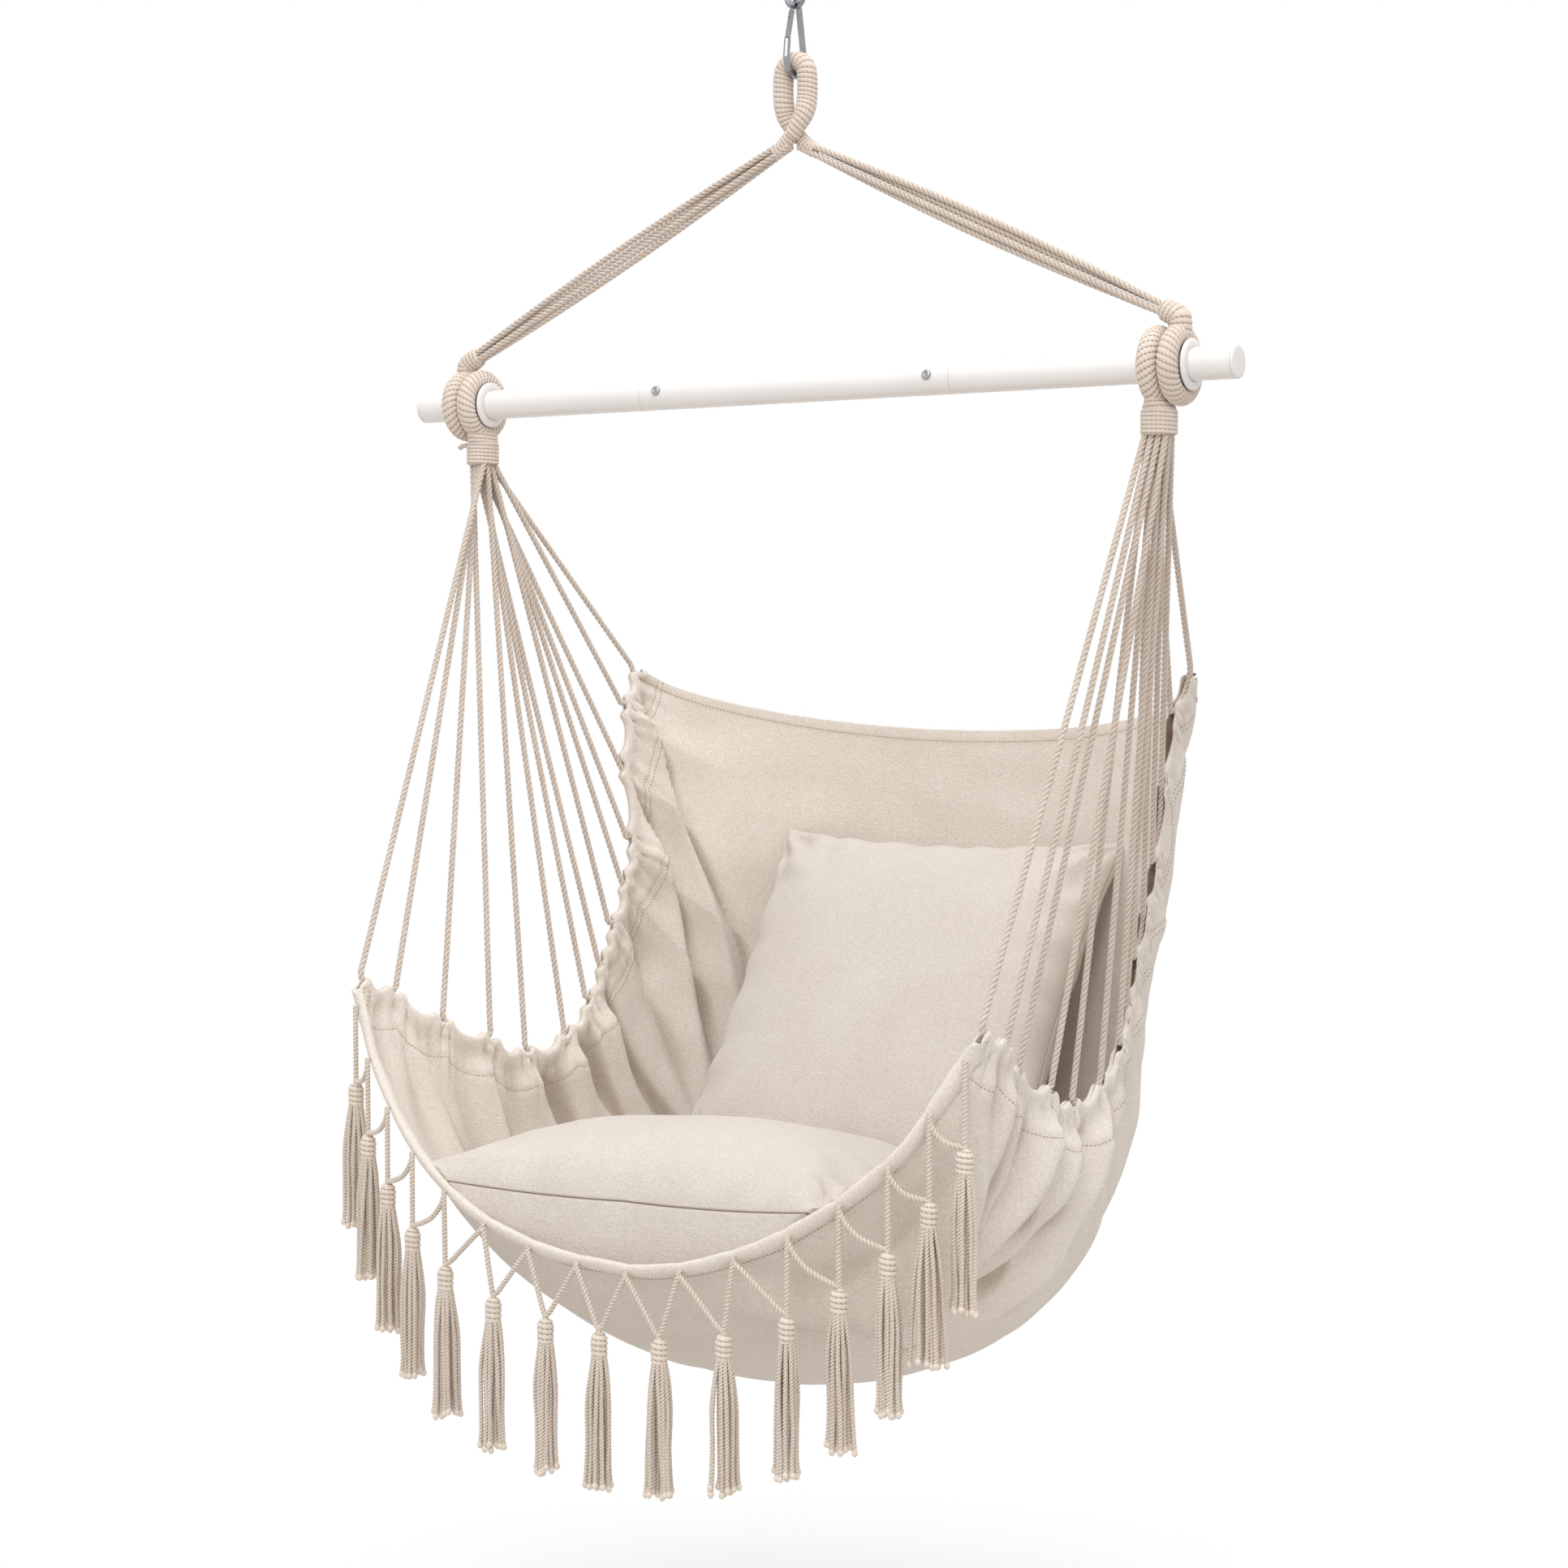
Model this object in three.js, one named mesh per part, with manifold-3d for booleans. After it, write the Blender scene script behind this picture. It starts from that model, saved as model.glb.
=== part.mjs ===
import * as THREE from "three";
import { mergeVertices } from "three/addons/utils/BufferGeometryUtils.js";
import Module from "manifold-3d";

// A rope-hung hammock chair in millimetres. +Z is up, the spreader bar lies along X and the sitter faces -Y.
// The origin is the inside of the top bend of the chain link that the chair hangs from.

// Clearances
const gap = 0.3;
const overrun = 10;

// Chain link and snap hook
const linkWire = 5;
const linkInnerLength = 36;
const linkInnerWidth = 16;
const hookWire = 7;
const hookLength = 84;
const hookTopHalf = 7;
const hookBottomHalf = 17;
const hookNoseReach = 15;
const gateWire = 6;
const gatePivotDrop = 14;
const gateNoseDrop = 38;
const gateTongue = 2.4;
const gateTongueDepth = 4.9;
const gateTongueReach = 6;
const gatePinRadius = 1.2;
const gateSpringRadius = 0.6;
const gateSpringLength = 9;

// Whipped rope eyes: a core of laid ropes with an outer layer of cord wound round it
const coreRadius = 4.7;
const whipWire = 4;
const whipOrbit = 8.6;
const loopHeight = 95;
const loopKneeRise = 34;
const crossRise = 11;
const crossReach = 15;
const loopTurns = 20;
const eyeTurns = 14;
const eyeSteps = 6;
const eyeOpenShare = 0.197;
const whipSides = 4;
const stubRadius = 8.2;
const neckRise = 46;
const neckReach = 9.5;

// Spreader bar
const barLength = 1000;
const barRadius = 16;
const barWall = 1.5;
const barSides = 20;
const sleeveSides = 14;
const barMiddle = 382;
const barDrop = 251;
const sleeveWall = 1.5;
const sleeveLength = 120;
const screwInset = 24;
const screwShank = 2.7;
const screwHeadRadius = 5.2;
const screwHeadHeight = 2.6;
const screwTurnShare = 0.82;
const screwShankLength = 9;
const capPlug = 14;
const capFace = 3;
const eyeInset = 83;
const lowerEyeX = barLength / 2 - eyeInset;
const bushWall = 1.7;
const bushFlangeRadius = 25;
const bushFlange = 4;

// Collar under each lower eye, where the seat cords are gathered
const collarTop = 40.6;
const collarShoulder = 2;
const collarTurns = 4.5;
const collarPitch = 4.5;
const collarSteps = 10;
const postRadius = 14.3;
const postBottom = 66;
const postNeckRadius = 9.8;

// Ropes and cords
const ropeRadius = 3;
const ropeBundle = 3.5;
const ropeFan = 6.4;
const slingRopes = 4;
const legRows = 4;
const legRowSpacing = 6.6;
const legStep = 1.6;

// Seat cloth: half width, fore and aft reach and drop below the bar of each place where a cord meets
// the side edge
const seatHalfWidth = 371;
const seatFront = 264;
const seatBack = 202;
const seatLow = 716;
const edgeWidthShares = [
  1, 0.992, 0.943, 0.93, 0.916, 0.908, 0.908, 0.903, 0.898, 0.898, 0.903, 0.93, 0.943, 0.965,
];
const edgeReachShares = [
  -1, -0.803, -0.591, -0.307, -0.098, 0.203, 0.406, 0.51, 0.604, 0.718, 0.797, 0.797, 0.851, 1,
];
const edgeDropShares = [
  0.856, 0.885, 0.934, 0.972, 1, 0.983, 0.939, 0.88, 0.824, 0.754, 0.691, 0.571, 0.473, 0.409,
];
const clothDepth = 1042;
const clothFront = 340;
const clothRear = 380;
const centreReachShares = [-1, -0.735, -0.382, 0, 0.342, 0.632, 0.829, 0.934, 0.987, 1, 0.987];
const centreDropShares = [0.827, 0.912, 0.969, 1, 0.998, 0.945, 0.845, 0.71, 0.566, 0.432, 0.352];
const sectionShares = [1.35, 1, 0.82, 0.75, 0.72, 0.72, 0.75, 0.8, 1];
const clothThickness = 3;
const clothColumns = 15;
const scallop = 13;
const pucker = 5;
const bigFold = 14;
const puckerShares = [0.6, 1];
const wingShares = [0.35, 0.95];
const backShares = [0.5, 0.95];
const foldStations = 5;
const casingRadius = 6.4;
const casingBore = 4.9;
const casingSeat = 0.8;
const casingFacets = 6;
const casingShutShares = [0.1, 0.93];
const casingOpenShares = [0.23, 0.77];
const hemRadius = 6;

// Tassel fringe
const tassels = 15;
const tasselInset = 21.3;
const armLength = 67;
const armSlack = 13;
const tasselLength = 150;
const tasselHeadRadius = 8;
const tasselHeadHeight = 24;
const tasselSkirtRadius = 14;
const tasselSkirtShare = 0.9;
const armRadius = 1.8;
const tasselSides = 6;

// Cushions: seam outline half sizes, crown over the seam and belly under it
const seatCushionHalfWidth = 240;
const seatCushionHalfDepth = 235;
const seatCushionCrown = 88;
const seatCushionBelly = 190;
const seatCushionMid = [0, -98, -838];
const seatCushionTiltShare = 0.07;
const backCushionHalfWidth = 222;
const backCushionHalfHeight = 222;
const backCushionCrown = 74;
const backCushionMid = [0, 208, -672];
const backCushionTiltShare = 0.315;
const cushionCells = 9;
const cushionPinch = 22;
const cushionSwellShare = 0.42;

// Places that follow from the sizes above
const tau = 2 * Math.PI;
const mitreShare = 0.25;
const whipOuter = whipOrbit + whipWire / 2;
const linkBottom = -linkInnerLength - linkWire / 2;
const hookTop = linkBottom + linkWire / 2 + gap + hookWire / 2;
const hookBottom = hookTop - hookLength + hookWire;
const loopHalf = whipOuter + hookWire / 2 + gap;
const loopCrest = hookBottom + hookWire / 2 + gap + whipOuter;
const neckZ = loopCrest + whipOuter - loopHeight;
const barZ = neckZ - barDrop;
const bushRadius = barRadius + gap + bushWall;
const eyeRadius = bushRadius + gap + whipOuter;
const upperEyeX = lowerEyeX + 2 * whipOuter + 2 * gap;
const legTop = barZ - postBottom - gap;
const legs = edgeWidthShares.length;
const stations = 2 * legs - 1;

const wasm = await Module();
wasm.setup();

// Vector helpers
const vec = (x, y, z) => new THREE.Vector3(x, y, z);
const along = (a, b, length) => b.clone().sub(a).setLength(length);

// A closed surface from rings of points that all have the same number of corners.
function skin(rings, { closed = false } = {}) {
  const corners = rings[0].length;
  const positions = rings.flat().flatMap((p) => [p.x, p.y, p.z]);
  const faces = [];
  const last = closed ? rings.length : rings.length - 1;
  for (let i = 0; i < last; i++) {
    const a = i * corners;
    const b = ((i + 1) % rings.length) * corners;
    for (let k = 0; k < corners; k++) {
      const n = (k + 1) % corners;
      faces.push(a + k, a + n, b + n, a + k, b + n, b + k);
    }
  }
  if (!closed) {
    const end = (rings.length - 1) * corners;
    for (let k = 1; k < corners - 1; k++) {
      faces.push(0, k + 1, k, end, end + k, end + k + 1);
    }
  }
  const geometry = new THREE.BufferGeometry();
  geometry.setAttribute("position", new THREE.Float32BufferAttribute(positions, 3));
  geometry.setIndex(faces);
  return geometry;
}

// Rings round a line of points, turned as little as possible from one to the next.
function ringsAlong(points, radius, sides, options = {}) {
  const { closed = false, side = null, startNormal = null, endNormal = null } = options;
  const n = points.length;
  const tangents = points.map((p, i) => {
    const before = closed || i > 0 ? points[(i + n - 1) % n] : null;
    const after = closed || i < n - 1 ? points[(i + 1) % n] : null;
    if (!before) return along(p, after, 1);
    if (!after) return along(before, p, 1);
    return along(p, after, 1).add(along(before, p, 1)).normalize();
  });
  const square = Math.abs(tangents[0].x) < Math.SQRT1_2 ? vec(1, 0, 0) : vec(0, 1, 0);
  let across = side ? side.clone() : square;
  return points.map((p, i) => {
    const t = tangents[i];
    if (side) across = side.clone();
    across.addScaledVector(t, -across.dot(t)).normalize();
    const up = t.clone().cross(across);
    const normal = i === 0 ? startNormal : i === n - 1 ? endNormal : null;
    const inner = closed || (i > 0 && i < n - 1);
    const came = inner ? p.clone().sub(points[(i + n - 1) % n]).normalize() : t;
    const went = inner ? points[(i + 1) % n].clone().sub(p).normalize() : t;
    const bent = went.clone().sub(came);
    const stretch = 1 / Math.max(t.dot(went), mitreShare) - 1;
    bent.normalize();
    return Array.from({ length: sides }, (_, k) => {
      const angle = (tau * k) / sides;
      const arm = across.clone().multiplyScalar(radius * Math.cos(angle));
      arm.addScaledVector(up, radius * Math.sin(angle));
      arm.addScaledVector(bent, arm.dot(bent) * stretch);
      if (normal) arm.addScaledVector(t, -arm.dot(normal) / t.dot(normal));
      return p.clone().add(arm);
    });
  });
}

const tube = (points, radius, sides, options) => skin(ringsAlong(points, radius, sides, options), options);

// A cord wound round a core line: its centre line, with both ends led off straight.
// The turns are spread by the length of the inner side of each bend, so that they stay apart there.
function windingLine(core, turns, orbit, steps, side) {
  const curve = new THREE.CatmullRomCurve3(core, false, "centripetal");
  const count = Math.round(turns * steps);
  const frameAt = (share) => {
    const t = curve.getTangentAt(share);
    const a = side.clone().addScaledVector(t, -side.dot(t)).normalize();
    return { a, b: t.clone().cross(a), p: curve.getPointAt(share) };
  };
  const samples = 4 * count;
  const room = [0];
  for (let i = 1; i <= samples; i++) {
    const [from, to] = [frameAt((i - 1) / samples), frameAt(i / samples)];
    const inner = (sign) => {
      const start = from.p.clone().addScaledVector(from.b, sign * orbit);
      return start.distanceTo(to.p.clone().addScaledVector(to.b, sign * orbit));
    };
    room.push(room.at(-1) + Math.min(inner(1), inner(-1)));
  }
  const line = [];
  let at = 0;
  for (let i = 0; i <= count; i++) {
    const goal = (room.at(-1) * i) / count;
    while (at < samples - 1 && room[at + 1] < goal) at++;
    const share = Math.min(1, (at + (goal - room[at]) / (room[at + 1] - room[at])) / samples);
    const { a, b, p } = frameAt(share);
    const angle = (tau * i) / steps;
    p.addScaledVector(a, orbit * Math.cos(angle));
    line.push(p.addScaledVector(b, orbit * Math.sin(angle)));
  }
  line.unshift(line[0].clone().add(along(line[1], line[0], whipWire)));
  line.push(line.at(-1).clone().add(along(line.at(-2), line.at(-1), whipWire)));
  return line;
}

// The least clear space between one turn of a wound cord and the next, measured on points of its centre line.
function leastGap(line, wire, orbit) {
  const curve = new THREE.CurvePath();
  for (let i = 1; i < line.length; i++) curve.add(new THREE.LineCurve3(line[i - 1], line[i]));
  const total = curve.getLength();
  const spots = curve.getSpacedPoints(Math.ceil(total / (wire / 2)));
  const apart = Math.ceil((tau * orbit * Math.SQRT1_2) / (wire / 2) / 2);
  let least = Infinity;
  for (let i = 0; i < spots.length; i++) {
    for (let j = i + apart; j < spots.length; j++) least = Math.min(least, spots[i].distanceTo(spots[j]));
  }
  return least - wire;
}

function whipping(name, core, turns, orbit, steps, sides, side) {
  const line = windingLine(core, turns, orbit, steps, side);
  console.log(name + " least gap to itself " + leastGap(line, whipWire, orbit).toFixed(2) + " mm");
  return tube(line, whipWire / 2, sides);
}

// Booleans on closed geometries
function solidOf(geometry) {
  const bare = geometry.clone();
  bare.deleteAttribute("normal");
  bare.deleteAttribute("uv");
  const merged = mergeVertices(bare, gap / 1000);
  const mesh = new wasm.Mesh({
    numProp: 3,
    vertProperties: merged.attributes.position.array,
    triVerts: new Uint32Array(merged.index.array),
  });
  return new wasm.Manifold(mesh);
}

function geometryOf(solid) {
  const mesh = solid.getMesh();
  const geometry = new THREE.BufferGeometry();
  geometry.setAttribute("position", new THREE.BufferAttribute(Float32Array.from(mesh.vertProperties), 3));
  geometry.setIndex(Array.from(mesh.triVerts));
  return geometry;
}

const joined = (...geometries) => geometryOf(geometries.map(solidOf).reduce((a, b) => a.add(b)));
const cut = (body, ...tools) => geometryOf(tools.map(solidOf).reduce((a, b) => a.subtract(b), solidOf(body)));

// A turned piece about the X axis: pairs of place along X and radius, going round the section.
function turnedX(profile, segments) {
  const points = profile.map(([x, r]) => new THREE.Vector2(r, x));
  const closed = profile.some(([, r]) => r === 0) ? points : [...points, points[0].clone()];
  return new THREE.LatheGeometry(closed, segments).rotateZ(-Math.PI / 2);
}

function cylinderAlong(from, to, radius, segments) {
  const geometry = new THREE.CylinderGeometry(radius, radius, from.distanceTo(to), segments);
  const turn = new THREE.Quaternion().setFromUnitVectors(vec(0, 1, 0), along(from, to, 1));
  const middle = from.clone().add(to).multiplyScalar(1 / 2);
  return geometry.applyQuaternion(turn).translate(middle.x, middle.y, middle.z);
}

// Points of an arc in the plane of two directions, at a place.
function arc(centre, radius, from, to, steps, a, b) {
  return Array.from({ length: steps + 1 }, (_, i) => {
    const angle = from + ((to - from) * i) / steps;
    const p = centre.clone().addScaledVector(a, radius * Math.cos(angle));
    return p.addScaledVector(b, radius * Math.sin(angle));
  });
}

const X = vec(1, 0, 0);
const Y = vec(0, 1, 0);
const Z = vec(0, 0, 1);

// Finishes
const finish = (color, roughness, metalness) => () =>
  new THREE.MeshStandardMaterial({ color, roughness, metalness });
const steel = finish(0xb9bcc0, 0.3, 1);
const paint = finish(0xf3f1ee, 0.4, 0);
const plastic = finish(0xf6f4f0, 0.5, 0);
const rope = finish(0xe0d2be, 0.9, 0);
const canvas = finish(0xe4d8c4, 0.95, 0);
const pillow = finish(0xebe0ce, 0.95, 0);

const chair = new THREE.Group();

function add(name, geometry, material) {
  const mesh = new THREE.Mesh(geometry, material());
  mesh.name = name;
  chair.add(mesh);
}

// Chain link
function hangingLink() {
  const half = linkInnerWidth / 2 + linkWire / 2;
  const top = vec(0, 0, linkWire / 2 - half);
  const bottom = vec(0, 0, linkBottom + half);
  const steps = 6;
  const upper = arc(top, half, 0, Math.PI, steps, X, Z);
  const lower = arc(bottom, half, Math.PI, tau, steps, X, Z);
  const line = [...upper, ...lower];
  add("hanging_link", tube(line, linkWire / 2, 8, { closed: true, side: Y }), steel);
}

// Snap hook: pear-shaped body, gate, gate pin and the spring inside the gate
const hookAt = (y, drop) => vec(0, y, hookTop - drop);
const nose = hookAt(-hookNoseReach, gateNoseDrop + hookWire / 2);
const pivot = hookAt(-hookTopHalf - gap, gatePivotDrop);
const gateDown = along(pivot, nose, 1);

const tongueSweep = Math.hypot(gateTongueReach, gateTongueDepth / 2);

// A block along the gate's line, from the end of the top bend to a reach below the gate's pin.
function tongueBlock(width, depth, reach) {
  const rise = gatePivotDrop - hookTopHalf;
  const middle = pivot.clone().addScaledVector(gateDown, (reach - rise) / 2);
  const block = new THREE.BoxGeometry(width, depth, reach + rise);
  block.rotateX(Math.atan2(gateDown.y, -gateDown.z));
  return block.translate(middle.x, middle.y, middle.z);
}

function pinAlongX(radius, extra, segments) {
  const half = gateWire / 2 + extra;
  const from = pivot.clone().addScaledVector(X, -half);
  return cylinderAlong(from, pivot.clone().addScaledVector(X, half), radius, segments);
}

function hookBody() {
  const bottomCentre = hookAt(0, hookLength - hookWire - hookBottomHalf);
  const line = [
    ...arc(hookAt(0, hookTopHalf), hookTopHalf, Math.PI, 0, 6, Y, Z),
    ...arc(bottomCentre, hookBottomHalf, 0, -Math.PI, 8, Y, Z),
    nose,
  ];
  const tongue = tongueBlock(gateTongue, gateTongueDepth, gateTongueReach);
  const body = joined(tube(line, hookWire / 2, 8, { side: X }), tongue);
  add("hook_body", cut(body, pinAlongX(gatePinRadius + gap, overrun, 10)), steel);
}

function hookGate() {
  const down = gateDown;
  const gateEnd = nose.clone().addScaledVector(down, -gap * 2);
  const gateStart = pivot.clone().addScaledVector(down, -gatePinRadius * 2);
  const gate = cylinderAlong(gateStart, gateEnd, gateWire / 2, 12);
  const bore = pinAlongX(gatePinRadius + gap, overrun, 10);
  const slot = tongueBlock(gateTongue + 2 * gap, 2 * gateWire, tongueSweep + gap);
  const springFrom = pivot.clone().addScaledVector(down, tongueSweep + 2 * gap);
  const springTo = springFrom.clone().addScaledVector(down, gateSpringLength);
  const springBore = cylinderAlong(
    springFrom.clone().addScaledVector(down, -gateTongueReach / 2),
    springTo.clone().addScaledVector(down, gap),
    gateSpringRadius + gap,
    8,
  );
  add("hook_gate", cut(gate, slot, bore, springBore), steel);
  add("gate_pin", pinAlongX(gatePinRadius, 0, 8), steel);
  add("gate_spring", cylinderAlong(springFrom, springTo, gateSpringRadius, 6), steel);
}

// Top rope loop: one core that crosses itself at the neck, and the cord wound round its upper part
const upperNeck = (s) => vec(s * (upperEyeX - neckReach), 0, barZ + neckRise + neckReach / 2);

function loopStub(s) {
  const end = vec(s * crossReach, s * (coreRadius + gap), neckZ - coreRadius);
  return { end, out: along(end, upperNeck(s), 1) };
}

function topLoop() {
  const crest = vec(0, 0, loopCrest - loopHalf);
  const knee = (s) => vec(s * loopHalf, 0, neckZ + loopKneeRise);
  const cross = (s) => {
    const stub = loopStub(s);
    const bendPoint = stub.end.clone().addScaledVector(stub.out, -coreRadius * 2);
    const rise = vec(-s * coreRadius, s * coreRadius, neckZ + crossRise);
    return [stub.end, bendPoint, rise];
  };
  const right = cross(1);
  const left = cross(-1);
  const bow = arc(crest, loopHalf, Math.PI, 0, 8, X, Z);
  const line = [...right, knee(-1), ...bow, knee(1), ...left.reverse()];
  add("top_loop_core", tube(line, coreRadius, 8), rope);
  const wound = [knee(-1), ...bow, knee(1)];
  const label = "top_loop_whipping";
  add(label, whipping(label, wound, loopTurns, whipOrbit, eyeSteps + 1, whipSides, Y), rope);
}

// Ropes from the top loop to the upper eyes
function slingRopesOf(s, name) {
  const stub = loopStub(s);
  const out = stub.out;
  const from = stub.end.clone().addScaledVector(out, gap);
  const to = upperNeck(s).addScaledVector(out, -gap);
  const up = out.clone().cross(Y).multiplyScalar(-s).normalize();
  for (let i = 0; i < slingRopes; i++) {
    const sideways = (i % 2 ? 1 : -1) * ropeBundle;
    const upwards = (i < slingRopes / 2 ? -1 : 1) * ropeBundle;
    const fanned = (i - (slingRopes - 1) / 2) * ropeFan;
    const steps = 6;
    const line = Array.from({ length: steps + 1 }, (_, k) => {
      const swell = Math.sin((Math.PI * k) / steps);
      const p = from.clone().lerp(to, k / steps);
      p.addScaledVector(up, upwards + (fanned - upwards) * swell);
      return p.addScaledVector(Y, sideways * (1 - swell / 2));
    });
    const options = { startNormal: out, endNormal: out };
    add("sling_rope_" + name + "_" + (i + 1), tube(line, ropeRadius, 6, options), rope);
  }
}

// Rope eyes round the bar
const eyeCentre = (s, x) => vec(s * x, 0, barZ);

function upperEye(s, name) {
  const centre = eyeCentre(s, upperEyeX);
  const ring = arc(centre, eyeRadius, 0, tau, 14, Y, Z).slice(0, -1);
  const bend = vec(s * upperEyeX, 0, barZ + neckRise);
  const foot = vec(s * upperEyeX, 0, barZ + eyeRadius - coreRadius / 2);
  const out = along(upperNeck(s), loopStub(s).end, 1);
  const neck = [foot, bend, upperNeck(s)];
  const core = joined(
    tube(ring, coreRadius, 8, { closed: true, side: X }),
    tube(neck, stubRadius, 8, { side: Y, endNormal: out }),
  );
  add("upper_eye_core_" + name, core, rope);
  const opening = eyeOpenShare * Math.PI;
  const wound = arc(centre, eyeRadius, Math.PI / 2 + opening, Math.PI / 2 - opening + tau, 24, Y, Z);
  const label = "upper_eye_whipping_" + name;
  add(label, whipping(label, wound, eyeTurns, whipOrbit, eyeSteps, whipSides, X), rope);
}

function lowerEye(s, name) {
  const centre = eyeCentre(s, lowerEyeX);
  const ring = arc(centre, eyeRadius, 0, tau, 14, Y, Z).slice(0, -1);
  const profile = [
    [0, -postBottom],
    [postRadius, -postBottom],
    [postRadius, -collarTop],
    [postNeckRadius, -collarTop + collarShoulder],
    [postNeckRadius, -eyeRadius + coreRadius / 2],
    [0, -eyeRadius + coreRadius / 2],
  ];
  const post = new THREE.LatheGeometry(profile.map(([r, z]) => new THREE.Vector2(r, z)), 12);
  post.rotateX(Math.PI / 2).translate(s * lowerEyeX, 0, barZ);
  add("lower_eye_core_" + name, joined(tube(ring, coreRadius, 8, { closed: true, side: X }), post), rope);
  const opening = eyeOpenShare * Math.PI;
  const wound = arc(centre, eyeRadius, -Math.PI / 2 + opening, -Math.PI / 2 - opening + tau, 24, Y, Z);
  const label = "lower_eye_whipping_" + name;
  add(label, whipping(label, wound, eyeTurns, whipOrbit, eyeSteps, whipSides, X), rope);
  const collarHeight = collarTurns * collarPitch;
  const axis = [0, 1, 2].map((k) =>
    vec(s * lowerEyeX, 0, barZ - collarTop - whipWire / 2 - (collarHeight * k) / 2),
  );
  const collarOrbit = (postRadius + gap + whipWire / 2) / Math.cos(Math.PI / collarSteps);
  const collarLabel = "collar_whipping_" + name;
  add(collarLabel, whipping(collarLabel, axis, collarTurns, collarOrbit, collarSteps, whipSides, X), rope);
}

// Spreader bar: three tubes, two inner sleeves, two screws, two end caps and the bushes under the eyes
const joint = barMiddle / 2;
const barEnd = barLength / 2 - capFace;
const barBore = barRadius - barWall;
const sleeveOuter = barBore - gap;
const sleeveInner = sleeveOuter - sleeveWall;
const screwOut = Y.clone().multiplyScalar(-screwTurnShare).addScaledVector(Z, 1 - screwTurnShare).normalize();
const onScrewLine = (s, reach) => vec(s * (joint - screwInset), 0, barZ).addScaledVector(screwOut, reach);

function pipe(x0, x1, r0, r1, segments) {
  const [a, b] = x0 < x1 ? [x0, x1] : [x1, x0];
  return turnedX([[a, r0], [a, r1], [b, r1], [b, r0]], segments).translate(0, 0, barZ);
}

const screwHole = (s) =>
  cylinderAlong(onScrewLine(s, sleeveInner / 2), onScrewLine(s, barRadius + overrun), screwShank + gap, 12);

function barTubes() {
  const middle = pipe(-joint, joint, barBore, barRadius, barSides);
  add("bar_middle_tube", cut(middle, screwHole(1), screwHole(-1)), paint);
  add("bar_left_tube", pipe(-joint - gap, -barEnd + gap, barBore, barRadius, barSides), paint);
  add("bar_right_tube", pipe(joint + gap, barEnd - gap, barBore, barRadius, barSides), paint);
}

function barJoint(s, name) {
  const half = sleeveLength / 2;
  const sleeve = pipe(s * joint - half, s * joint + half, sleeveInner, sleeveOuter, sleeveSides);
  add("joint_sleeve_" + name, cut(sleeve, screwHole(s)), steel);
  const seat = barRadius + gap;
  const crown = onScrewLine(s, seat + screwHeadHeight);
  const head = cylinderAlong(onScrewLine(s, seat), crown, screwHeadRadius, 12);
  const shank = cylinderAlong(
    onScrewLine(s, seat - screwShankLength),
    onScrewLine(s, seat + screwHeadHeight / 2),
    screwShank,
    10,
  );
  add("joint_screw_" + name, joined(head, shank), steel);
}

// A turned piece made for the right-hand side, set in its place on side s.
function onBar(s, geometry) {
  if (s < 0) geometry.rotateY(Math.PI);
  return geometry.translate(0, 0, barZ);
}

function barEndCap(s, name) {
  const profile = [
    [0, 0],
    [0, sleeveOuter],
    [capPlug, sleeveOuter],
    [capPlug, barRadius],
    [capPlug + capFace, barRadius],
    [capPlug + capFace, 0],
  ];
  const cap = turnedX(profile, barSides).translate(barEnd - capPlug, 0, 0);
  add("bar_end_cap_" + name, onBar(s, cap), plastic);
}

// Bushes: flanged sleeves pushed on from both sides, which meet between the two eyes
function bushFrom(face, meet) {
  const profile = [
    [face, barRadius + gap],
    [face, bushFlangeRadius],
    [face + bushFlange, bushFlangeRadius],
    [face + bushFlange, bushRadius],
    [meet, bushRadius],
    [meet, barRadius + gap],
  ];
  return turnedX(profile, barSides);
}

function bushes(s, name) {
  const meet = (lowerEyeX + upperEyeX) / 2;
  const innerFace = lowerEyeX - whipOuter - gap - bushFlange;
  const outerFace = upperEyeX + whipOuter + gap + bushFlange;
  add("inner_bush_" + name, onBar(s, bushFrom(innerFace, meet - gap / 2)), plastic);
  const outer = bushFrom(-outerFace, -meet - gap / 2).rotateY(Math.PI);
  add("outer_bush_" + name, onBar(s, outer), plastic);
}

// Seat cloth: smooth curves through tables of shares
function smooth(shares, t) {
  const points = shares.map((v, i) => vec(i / (shares.length - 1), v, 0));
  return new THREE.CatmullRomCurve3(points, false, "centripetal").getPoint(t).y;
}

const sagAt = (j) => (j % 2 ? scallop : 0);

// How far a value has come from the first to the second of two shares, from 0 to 1.
const within = (value, [from, to]) => Math.min(1, Math.max(0, (value - from) / (to - from)));

// The line of the side cord at station j, on the side s.
function edgeAt(s, j) {
  const t = j / (stations - 1);
  const reach = smooth(edgeReachShares, t);
  return vec(
    s * seatHalfWidth * smooth(edgeWidthShares, t),
    reach * (reach < 0 ? seatFront : seatBack),
    barZ - seatLow * smooth(edgeDropShares, t),
  );
}

// The way out of the casing at station j: towards the collar, square to the edge.
function outAt(s, j) {
  const here = edgeAt(s, j);
  const t = along(edgeAt(s, Math.max(j - 1, 0)), edgeAt(s, Math.min(j + 1, stations - 1)), 1);
  const out = along(here, vec(s * lowerEyeX, 0, legTop), 1);
  return out.addScaledVector(t, -out.dot(t)).normalize();
}

const cordAt = (s, j) => edgeAt(s, j).addScaledVector(outAt(s, j), -sagAt(j));

// The middle line of the cloth from the front hem under the seat and up the back.
const centreCurve = new THREE.CatmullRomCurve3(
  centreReachShares.map((share, i) =>
    vec(0, share * (share < 0 ? clothFront : clothRear), barZ - clothDepth * centreDropShares[i]),
  ),
  false,
  "centripetal",
);

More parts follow.
